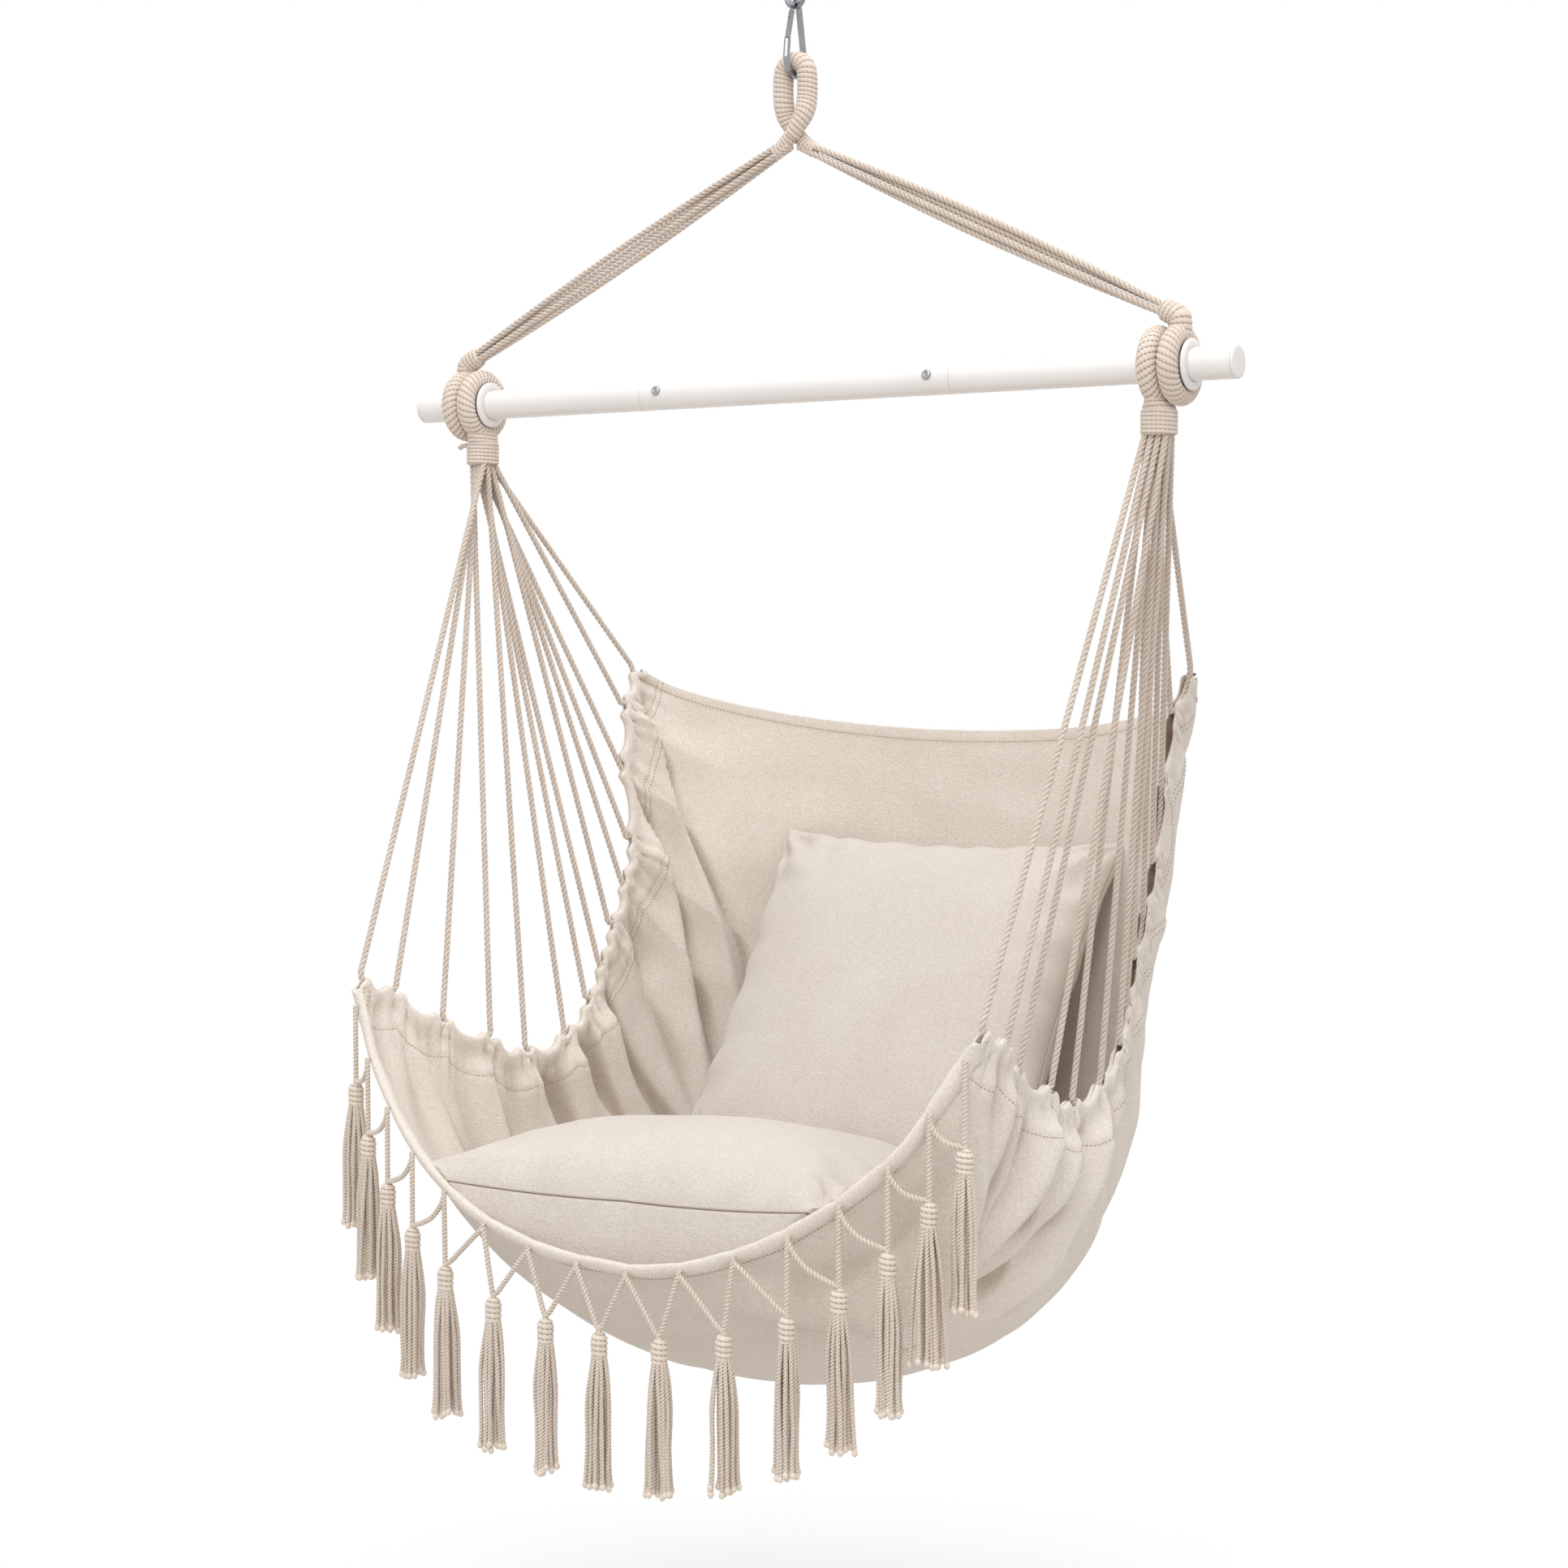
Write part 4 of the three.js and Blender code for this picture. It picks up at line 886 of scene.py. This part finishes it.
def hem_roll():
    t, _, _ = frames(hem_line)
    lead = points_at(hem_share, lengths(hem_row) / lengths(hem_row)[-1], unit(cloth_p[3] - cloth_p[0])[5:-5])
    lead = unit(lead - (lead * t).sum(-1, keepdims=True) * t)
    face = np.cross(t, lead)
    # The roll is drawn in a little at each tassel's knot.
    knot = np.abs(((hem_share * hem_at[-1] - tassel_inset) / tassel_pitch + 0.5) % 1 - 0.5)
    pinch = 1 - 0.13 * bell(knot * 60, 6)
    wide = 9.4 * pinch + 0.25 * np.sin(hem_share * 90)
    thick = 5.4 * pinch + 0.2 * np.sin(hem_share * 61 + 1)
    ang = round_angles(28)
    ring = hem_line[:, None] + lead[:, None] * (2.6 + wide[:, None] * np.cos(ang))[..., None]
    groove = 1 - 0.16 * bell(np.abs(ang - math.pi) - math.pi + 0.75, 0.16)
    ring = ring + face[:, None] * (thick[:, None] * np.sin(ang) * groove)[..., None]
    return Shape().skin(ring, uv_width=45).piece("front_hem_roll", "seat", canvas, "front_hem")


front_hem = hem_roll()


# ---- cushions
pillow_cells, seam_depth, corner_pinch = 96, 2.0, 22
pillow_clearance = 2.5


def pillow_lines():
    """Places of a pillow's grid lines from -1 to 1, close together by the seam."""
    by_seam = 1 - np.array([0.016, 0.009, 0.005, 0.002])
    h = np.unique(np.r_[np.linspace(0, 1, pillow_cells // 2 + 1), by_seam])
    g = 1 - (1 - h) ** 2.4
    return np.r_[-g[:0:-1], g]


def pillow_form(half_a, half_b, crown, belly, seed, droop, lower_left):
    """A knife-edge pillow as two grids of points, upper and lower, in its own frame."""
    g = pillow_lines()
    a, b = np.meshgrid(g, g, indexing="xy")
    swell = ((1 - a * a) * (1 - b * b)) ** 0.42
    x = a * (half_a - corner_pinch * (1 - b * b) * a * a)
    y = b * (half_b - corner_pinch * (1 - a * a) * b * b)
    flat = np.stack([x, y, 0 * x], -1)
    to_a, to_b = half_a * (1 - np.abs(a)), half_b * (1 - np.abs(b))
    to_edge, corner = np.minimum(to_a, to_b), np.hypot(to_a, to_b)
    layers, relief = [], []
    for sign, depth, k in ((1, crown, 0), (-1, belly, 1)):
        along = np.where(to_a < to_b, y, x)
        tuck = 4.6 * np.sin(TAU * along / 58 + 2.2 * ripples(flat, 160, seed + k)) * np.exp(-to_edge / 34)
        tuck *= 1 - np.exp(-to_edge / 5)
        star = 7.5 * np.sin(9 * np.arctan2(to_b + 1, to_a + 1) + k)
        star = star * np.exp(-corner / 75) * within(to_edge, 0, 20)
        soft = 3.5 * ripples(flat, 230, seed + 5 + k) * swell
        rise = depth * swell
        z = sign * (rise + 0.25 + tuck + star + soft * 0.7)
        front = np.clip((0.4 - b) / 1.4, 0, 1) ** 2
        z = z - droop * front * (1 - a * a) - lower_left * front * np.clip(-a, 0, 1)
        lip = seam_depth * bell(rise, 0.8)
        shrink = 1 - lip / np.maximum(np.hypot(x, y), 1)
        layers.append(np.stack([x * shrink, y * shrink, z], -1).reshape(-1, 3))
        # A thin line along the seam is darkened as painted shade.
        relief.append(1 - bell(rise, 0.55).ravel())
    return np.vstack(layers), np.concatenate(relief), sheet_faces(len(g), len(g), flip=True)


def keep_off(v, trees, clear, rounds=3):
    """Moves points that are within a surface, or nearer than the clearance, back out along its normals."""
    for _ in range(rounds):
        for tree in trees:
            for i, p in enumerate(v):
                place, normal, *_ = tree.find_nearest(Vector(p * MM))
                if place is None:
                    continue
                normal = np.array(normal)
                depth = (p - np.array(place) / MM) @ normal
                if depth < clear:
                    v[i] = np.array(place) / MM + normal * clear
    return v


def pillow(name, body, half_a, half_b, crown, belly, mid, tilt, trees, seed, droop=0, lower_left=0):
    v, relief, faces = pillow_form(half_a, half_b, crown, belly, seed, droop, lower_left)
    c, s = math.cos(tilt), math.sin(tilt)
    turn = np.array([[1, 0, 0], [0, c, -s], [0, s, c]])
    uv = v[:, :2].copy()
    v = keep_off(v @ turn.T + np.array([mid[0], mid[1], bar_z + mid[2]]), trees, pillow_clearance)
    o = Shape().grid(v, faces, uv[faces], relief).piece(name, body, pillow_cotton, body)
    return o


cloth_rows, cloth_cols = cloth_p.shape[:2]
inner_quads = sheet_faces(cloth_rows, cloth_cols, flip=True)[:(cloth_rows - 1) * (cloth_cols - 1)]
inner_points = (cloth_p - cloth_n * cloth_h[..., None]).reshape(-1, 3) * MM
cloth_tree = BVHTree.FromPolygons([Vector(p) for p in inner_points], inner_quads.tolist())
seat_pillow = pillow(
    "seat_pillow", "seat_cushion", 240, 235, 88, 190, (0, -98, -838), -0.07 * math.pi,
    [cloth_tree], 11, droop=13, lower_left=14,
)
pillow_tree = BVHTree.FromObject(seat_pillow, bpy.context.evaluated_depsgraph_get())
pillow(
    "back_pillow", "back_cushion", 222, 222, 74, 74, (0, 208, -672), 0.315 * math.pi,
    [cloth_tree, pillow_tree], 21,
)


# ---- seat cords
def leg_head(s, k):
    row = (k % leg_rows) - (leg_rows - 1) / 2
    return np.array([s * (lower_eye_x + row * leg_row_spacing), (k - (legs - 1) / 2) * leg_step, leg_top])


def leg_run(s, k, toward):
    """A leg from its collar to the casing, where it turns along the edge."""
    head = leg_head(s, k)
    foot = cord_point(s, k / (legs - 1))
    way = unit(foot - head)
    turn_t = np.clip(k / (legs - 1) + toward * np.array([0.1, 0.24, 0.45, 0.8]) / (legs - 1), 0, 1)
    into = [cord_point(s, x) for x in turn_t]
    straight = [head + (foot - head) * f for f in (0, 0.25, 0.5, 0.75)]
    return [head - way * 9, *straight, foot - way * 14, foot - way * 4, *into]


for s, name in SIDES:
    for c in range(legs // 2):
        going = leg_run(s, 2 * c, 1)
        coming = leg_run(s, 2 * c + 1, -1)[::-1]
        line = curve([*going[:-1], *coming[1:]], rope_step)
        cord = Shape().laid(line, seat_lay[0], 3, seat_lay[1], phase=c * 1.3)
        cord.piece(f"seat_rope_{name}_{c + 1}", "seat", rope, f"seat_cord_{name}_{c + 1}")


# ---- sling ropes and eyes
def upper_neck(s):
    return np.array([s * (upper_eye_x - neck_reach), 0, bar_z + neck_rise + neck_reach / 2])


def loop_stub(s):
    end = np.array([s * cross_reach, s * (core_radius + 0.3), neck_z - core_radius])
    return end, unit(upper_neck(s) - end)


def sling_line(s, i):
    end, out = loop_stub(s)
    to = upper_neck(s) - out * 0.3
    start = end + out * 0.3
    up = unit(np.cross(out, Y)) * -s
    sideways = (1 if i % 2 else -1) * rope_bundle
    upwards = (-1 if i < 2 else 1) * rope_bundle
    fanned = (i - 1.5) * rope_fan
    pts = []
    for k in range(13):
        swell = math.sin(math.pi * k / 12)
        p = start + (to - start) * k / 12
        pts.append(p + up * (upwards + (fanned - upwards) * swell) + Y * sideways * (1 - swell / 2))
    return [pts[0] - out * 12, *pts, pts[-1] + out * 10]


for s, name in SIDES:
    for i in range(4):
        line = curve(sling_line(s, i), rope_step)
        sling = Shape().laid(line, sling_lay[0], 3, sling_lay[1], phase=i * 0.9)
        sling.piece(f"upper_rope_{name}_{i + 1}", "sling", rope, f"sling_rope_{name}_{i + 1}")


def ring_line(centre, radius, start, stop, a=Y, b=Z, count=181):
    return np.asarray(centre) + radius * round_arms(np.linspace(start, stop, count), a, b)


def wound_ring(centre, starts):
    """The ring of an eye round the bar, covered by wound cord."""
    ring = ring_line(centre, eye_radius, 0, TAU)[:-1]
    return Shape().wound(ring, whip_outer, eye_turns, starts=starts, lobes=15, closed=True, side=X)


def going_down(centre, top, bottom, count):
    return np.stack([centre - Z * z for z in np.linspace(top, bottom, count)])


def upper_eye(s, name):
    centre = np.array([s * upper_eye_x, 0, bar_z])
    shape = wound_ring(centre, 4 * s)
    neck = upper_neck(s)
    out = loop_stub(s)[1]
    path = curve([
        centre + Z * 22, centre + Z * 38, centre + Z * (neck_rise - 1) + X * -s * 1.5,
        neck - out * 2, neck - out * 10,
    ], 0.8)
    shape.wound(path, [10.2, 11.6, 12, 11.6, 10.8], lengths(path)[-1] / 4.8, starts=s, lobes=15, side=Y)
    shape.piece(f"upper_eye_{name}", "sling", rope,
                f"upper_eye_core_{name}", f"upper_eye_whipping_{name}")


def lower_eye(s, name):
    centre = np.array([s * lower_eye_x, 0, bar_z])
    shape = wound_ring(centre, -4 * s)
    shape.wound(going_down(centre, 29, 44, 30), [9.6, 12.6, 15.6, 17], 15 / 4.6, starts=-s, lobes=22,
                side=X, wide=[23.5, 22.6, 20, 17.6], round_ends=1.5)
    shape.wound(going_down(centre, collar_top + 1, post_bottom + 0.2, 40), 18.3,
                (post_bottom - collar_top) / 4.2, lobes=24, side=X, round_ends=2.0)
    shape.piece(f"lower_eye_{name}", "seat", rope,
                f"lower_eye_core_{name}", f"lower_eye_whipping_{name}", f"collar_whipping_{name}")


def cord_end():
    """The end of the collar's cord, which stands out beside the left collar."""
    root = np.array([-lower_eye_x - 15.5, -5, bar_z - collar_top - 4])
    line = curve([root, root + [-5, -1, 0.5], root + [-10, -2, -1], root + [-12.5, -2.5, -4]], 1.0)
    Shape().laid(line, 2.9, 3, 14, taper=2.5).piece("collar_cord_end", "seat", rope)


def top_loop():
    crest = np.array([0, 0, loop_crest - loop_half])
    bow = [crest + loop_half * np.array([math.cos(a), 0, math.sin(a)]) for a in np.linspace(math.pi, 0, 9)]
    apart = 6.2

    def leg_down(s):
        # The leg of the loop on side s comes down to the neck and crosses to the other side.
        y = -s * apart
        return [
            np.array([s * loop_half, 0, neck_z + loop_knee_rise + 12]),
            np.array([s * (loop_half - 1.5), y * 0.55, neck_z + loop_knee_rise - 4]),
            np.array([s * 6.5, y, neck_z + 17]),
            np.array([s * -0.5, y * 1.05, neck_z + 6]),
        ]

    left, right = leg_down(-1), leg_down(1)
    path = curve([*left[::-1], *bow[1:-1], *right], 0.8)
    share = np.linspace(0, 1, 21)
    radius = 11 - 2.6 * np.maximum(within(share, 0.8, 1), within(1 - share, 0.8, 1))
    shape = Shape().wound(path, radius, lengths(path)[-1] / 4.7, starts=2, lobes=15, side=Y)
    for s in (-1, 1):
        end, out = loop_stub(s)
        start = np.array([s * -2, s * apart, neck_z + 12])
        stem = curve([start, end - out * 7 + Z * 3, end + out * 3, end + out * 8], 0.8)
        shape.wound(stem, [7.6, 8.2, 7.8], lengths(stem)[-1] / 4.2, lobes=13, side=Y, round_ends=2)
    shape.piece("top_rope_eye", "sling", rope, "top_loop_core", "top_loop_whipping")


for s, name in SIDES:
    upper_eye(s, name)
    lower_eye(s, name)
cord_end()
top_loop()


# ---- bar
def turned(profile, s=1):
    """Rings of a body turned about the bar's axis, from pairs of a place along it and a radius."""
    arms = round_arms(round_angles(72), Y, Z)
    return [np.array([s * x, 0, bar_z]) + r * arms for x, r in profile]


def bar_tube(name, body, x0, x1, node):
    lo, hi = min(x0, x1), max(x0, x1)
    r = bar_radius
    bore = r - 1.5
    profile = [
        (lo + 0.2, bore), (lo, bore + 0.2), (lo, r - 0.5), (lo + 0.15, r - 0.15), (lo + 0.5, r), (lo + 8, r),
        *[(x, r) for x in np.linspace(lo + 40, hi - 40, 5)],
        (hi - 8, r), (hi - 0.5, r), (hi - 0.15, r - 0.15), (hi, r - 0.5), (hi, bore + 0.2), (hi - 0.2, bore),
        *[(x, bore) for x in np.linspace(hi - 8, lo + 8, 5)],
    ]
    rings = turned(profile)
    Shape().skin(rings, closed=True, uv_width=TAU * r).piece(name, body, paint, node)


joint = bar_middle / 2
bar_end = bar_length / 2 - 3
bar_tube("bar_tube_middle", "bar_middle", -joint, joint, "bar_middle_tube")
for s, name in SIDES:
    ends = s * (joint + piece_gap), s * (bar_end - piece_gap)
    bar_tube(f"bar_tube_{name}", f"bar_{name}", *ends, f"bar_{name}_tube")


def end_cap(s, name):
    r, e = bar_radius, bar_end
    profile = [
        (e - 14, 11), (e - 14, 13.6), (e - 13, 14.2), (e, 14.2), (e, r - 0.4), (e + 0.4, r), (e + 1.9, r),
        (e + 2.7, r - 0.5), (e + 3, r - 1.5), (e + 3, 8), (e + 3, 0.5),
    ]
    Shape().lathe(profile, (0, 0, bar_z), X * s, 72).piece(
        f"bar_cap_{name}", f"bar_{name}", plastic, f"bar_end_cap_{name}")


def bush(s, name, face, meet, label):
    """A flanged sleeve on the bar, from its flange's outer face to where it meets the other."""
    way = 1 if meet > face else -1
    f, b, bore = bush_flange_radius, bush_radius, bar_radius + piece_gap
    back = face + way * bush_flange
    profile = [
        (face + way * 0.7, bore), (face, bore + 0.7), (face, f - 2.2), (face + way * 0.5, f - 0.9),
        (face + way * 1.5, f - 0.1), (back - way * 1.0, f), (back - way * 0.2, f - 0.5), (back, f - 1.2),
        (back, b + 0.8), (back + way * 0.5, b), (meet, b), (meet, bore),
    ]
    rings = turned(profile, s)
    if s * way < 0:
        rings = rings[::-1]
    Shape().skin(rings, closed=True, uv_width=TAU * 20).piece(
        f"{label}_flange_{name}", "sling", plastic, f"{label}_bush_{name}")


# The screw's rings: height over its seat, radius, and whether they belong to the socket.
screw_rings = (
    (-9, 2.5, 0), (-0.2, 2.6, 0), (0, 4.9, 0), (0.3, 5.2, 0), (1.1, 5.1, 0), (1.9, 4.5, 0),
    (2.4, 3.7, 0), (2.6, 2.9, 0), (2.55, 2.35, 1), (1.2, 2.25, 1), (0.9, 1.2, 1),
)


def joint_screw(s, name):
    """A button-head screw with a hexagon socket, turned towards the front and a little up."""
    forward = 0.82
    out = unit(-Y * forward + Z * (1 - forward))
    base = np.array([s * (joint - 24), 0, bar_z])
    seat = bar_radius + piece_gap
    a = unit(np.cross(out, X))
    ang = round_angles(48)
    arms = round_arms(ang, a, np.cross(out, a))
    sector = TAU / 6
    hexagon = math.cos(sector / 2) / np.cos((ang % sector) - sector / 2)
    rings = []
    for height, r, socket in screw_rings:
        k = r * (hexagon * 1.08 if socket else np.ones(len(ang)))
        rings.append(base + out * (seat + height) + k[:, None] * arms)
    Shape().skin(rings, uv_width=30).piece(
        f"hex_screw_{name}", "bar_middle", joint_steel, f"joint_screw_{name}")


for s, name in SIDES:
    end_cap(s, name)
    meet = (lower_eye_x + upper_eye_x) / 2
    bush(s, name, lower_eye_x - whip_outer - piece_gap - bush_flange, meet - piece_gap / 2, "inner")
    bush(s, name, upper_eye_x + whip_outer + piece_gap + bush_flange, meet + piece_gap / 2, "outer")
    joint_screw(s, name)

# ---- link and hook
def link():
    half = 8 + link_radius
    bends = (((0, 0, link_radius - half), 0), ((0, 0, link_bottom + half), math.pi))
    line = np.vstack([ring_line(centre, half, turn, turn + math.pi, X, Z, 24) for centre, turn in bends])
    dense = evenly(np.vstack([line, line[:1]]), 1.2)[:-1]
    shape = Shape().tube(dense, link_radius, 20, closed=True, side=Y)
    shape.piece("chain_link", "hanger", zinc, "hanging_link")


link()
# The hook and the joints' sleeves are shown as the CAD's own solids.
for nodes, material in (
    (("hook_body", "hook_gate", "gate_pin", "gate_spring"), steel),
    (("joint_sleeve_left", "joint_sleeve_right"), joint_steel[1]),
):
    for n in nodes:
        slots = frame["nodes"][n].data.materials
        slots.clear()
        slots.append(material)

# ---- fringe
def tassel_places():
    """The knots on the hem that the tassels' cords hang from."""
    want = tassel_inset + np.arange(tassels + 1) * tassel_pitch
    knots = points_at(want, hem_at, hem_line)
    tang = points_at(want, hem_at, frames(hem_line)[0])
    lead = np.array([0, -1.0, -1.0])
    downward = lead - (lead * tang).sum(-1, keepdims=True) * tang
    below_hem = 7.6
    return knots + unit(downward) * below_hem


def hung_head(a, b):
    """Where a tassel hangs, and its cords' length: below the higher knot if the lower one's cord
    reaches there, else between them."""
    high, low = (a, b) if a[2] > b[2] else (b, a)
    apart = np.linalg.norm(b - a)
    reach = arm_length + arm_slack * abs(a[2] - b[2]) / apart
    under = high - Z * reach
    if np.linalg.norm(under - low) <= reach:
        return under, reach
    flat = unit(b - a)
    down = unit(-Z - (-Z @ flat) * flat)
    return (a + b) / 2 + down * math.sqrt(reach**2 - apart**2 / 4), reach


def slack_arm(end, head, reach):
    """A cord of the reach's length between a knot and a tassel's head, with its slack hanging in a bow."""
    span = np.linalg.norm(head - end)
    slack = max(reach - span, 0)
    across = (head - end) * (1, 1, 0)
    side = unit(across) if np.linalg.norm(across) > 4 else X * 0
    droop = min(math.sqrt(slack * span) * 0.62, 9)
    mid = [
        end + (head - end) * f - Z * droop * drop + side * droop * push
        for f, drop, push in ((0.16, 0.5, -0.28), (0.4, 0.95, -0.12), (0.66, 0.62, 0.12), (0.86, 0.12, 0.14))
    ]
    return [end + Z * 4, end, *mid, head + Z * 2, head - Z * 5]


def tassel(i, a, b):
    r = np.random.default_rng(100 + i)
    head, reach = hung_head(a, b)
    shape = Shape()
    for end in (a, b):
        line = curve(slack_arm(end, head, reach), 1.4)
        shape.laid(line, 2.9, 2, 8.0, per=6, phase=r.uniform(0, 6))
    neck_long = 24
    neck = going_down(head, -1, neck_long, 30)
    shape.wound(neck, [5.4, 8.0, 8.7, 8.2, 8.4, 7.8], 4.8, starts=1, lobes=9, side=X, round_ends=3,
                phase=r.uniform(0, 1), ridge=1.8)
    outer, inner = 10, 5
    long = tassel_length - neck_long
    for k in range(outer + inner):
        core = k >= outer
        ang = TAU * k / (inner if core else outer) + r.uniform(-0.15, 0.15)
        ring0, ring1 = (2.2, 5.0) if core else (5.8, 9.6 + r.uniform(-0.8, 1.6))
        way = np.array([math.cos(ang), math.sin(ang), 0])
        lean = r.normal(size=2) * 1.1
        pts = [head - Z * 17 + way * ring0 * 0.8]
        for f in (0.1, 0.35, 0.65, 0.88):
            bow = ring0 + (ring1 - ring0) * min(1, f * 3) ** 0.8
            stray = np.array([*(lean * f * 2 + r.normal(size=2) * 0.35), 0])
            pts.append(head - Z * (22 + long * f) + way * bow + stray)
        tip = pts[-1] - Z * long * 0.1 + way * 1.2 - Z * r.uniform(-3, 4)
        pts.append(tip)
        shape.laid(curve(pts, 1.3), 2.4, 2, 6.6, per=4, phase=r.uniform(0, 6))
        # A knot at the strand's end.
        bead = np.stack([tip + Z * (3.6 - q) for q in np.linspace(0, 7.2, 10)])
        shape.tube(bead, 2.9 * np.sqrt(np.clip(1 - np.linspace(-1, 1, 10) ** 2, 0.03, 1)), 10)
    return shape.piece(f"tassel_{i + 1}", "seat", tassel_rope, "tassel_fringe")


places = tassel_places()
tassel_pieces = [tassel(i, places[i], places[i + 1]) for i in range(tassels)]

# ---- floor, light
def floor():
    """A plain pale floor under the chair, which fades to white away from it for the camera."""
    mesh = bpy.data.meshes.new("floor")
    r, level, fade_from, fade_to = 14, -1.88, 0.45, 0.95
    mesh.from_pydata([(-r, -r, 0), (r, -r, 0), (r, r, 0), (-r, r, 0)], [], [(0, 1, 2, 3)])
    o = bpy.data.objects.new("floor", mesh)
    o.location = (0, 0, level)
    bpy.context.scene.collection.objects.link(o)
    k = Look("floor", 0.9)
    k.shader.inputs["Base Color"].default_value = (0.95, 0.95, 0.95, 1)
    glow = k.node("ShaderNodeEmission", {"Color": WHITE, "Strength": 1.0})
    radius = k.node("ShaderNodeVectorMath", {0: k.coords.outputs["Object"]}, operation="LENGTH")
    reach = {"Value": radius.outputs["Value"], "From Min": fade_from, "From Max": fade_to}
    far = k.node("ShaderNodeMapRange", reach)
    path = k.node("ShaderNodeLightPath")
    seen = k.math("MAXIMUM", path.outputs["Is Camera Ray"], path.outputs["Is Glossy Ray"])
    share = k.math("MULTIPLY", seen, far.outputs["Result"])
    dull = k.node("ShaderNodeBsdfDiffuse", {"Color": (0.66, 0.63, 0.61, 1)})
    near = k.node("ShaderNodeMixShader", {0: seen, 1: dull.outputs[0], 2: k.shader.outputs[0]})
    mix = k.node("ShaderNodeMixShader", {0: share, 1: near.outputs[0], 2: glow.outputs[0]})
    k.links.new(mix.outputs[0], k.nodes["Material Output"].inputs["Surface"])
    mesh.materials.append(k.m)


def world():
    """A soft sky, a little lighter above, which the camera and mirrors see as white."""
    w = bpy.data.worlds.new("studio")
    bpy.context.scene.world = w
    w.use_nodes = True
    k = Nodes(w.node_tree)
    way = k.node("ShaderNodeTexCoord")
    apart = k.node("ShaderNodeSeparateXYZ", {0: way.outputs["Generated"]})
    sky = k.node("ShaderNodeMapRange", {
        "Value": apart.outputs["Z"], "From Min": -0.2, "From Max": 0.9, "To Min": 0.6, "To Max": 0.95,
    })
    soft = k.nodes["Background"]
    soft.inputs["Color"].default_value = (1, 0.995, 0.985, 1)
    k.links.new(sky.outputs["Result"], soft.inputs["Strength"])
    seen = k.node("ShaderNodeBackground", {"Color": WHITE, "Strength": 1.0})
    path = k.node("ShaderNodeLightPath")
    through = k.math("MAXIMUM", path.outputs["Is Glossy Ray"], path.outputs["Is Transmission Ray"])
    either = k.math("MAXIMUM", path.outputs["Is Camera Ray"], through)
    mix = k.node("ShaderNodeMixShader", {0: either, 1: soft.outputs[0], 2: seen.outputs[0]})
    k.links.new(mix.outputs[0], k.nodes["World Output"].inputs["Surface"])


def lamp(name, place, aim, size, power, colour=(1, 1, 1)):
    data = bpy.data.lights.new(name, "AREA")
    data.shape = "DISK"
    data.size, data.energy, data.color = size, power, colour
    o = bpy.data.objects.new(name, data)
    o.location = Vector(place)
    o.rotation_mode = "QUATERNION"
    o.rotation_quaternion = (Vector(aim) - Vector(place)).to_track_quat("-Z", "Y")
    bpy.context.scene.collection.objects.link(o)


floor()
world()
lamp("key", (1.5, -3.2, 1.5), (0, 0, -0.95), 1.5, 40, (1, 0.99, 0.98))
lamp("top", (0.5, -0.6, 2.4), (0, 0, -1.0), 2.0, 30)
lamp("fill", (1.2, 0.9, 2.6), (-0.3, -0.1, -0.9), 1.6, 8)
bpy.context.scene.view_settings.view_transform = "Standard"
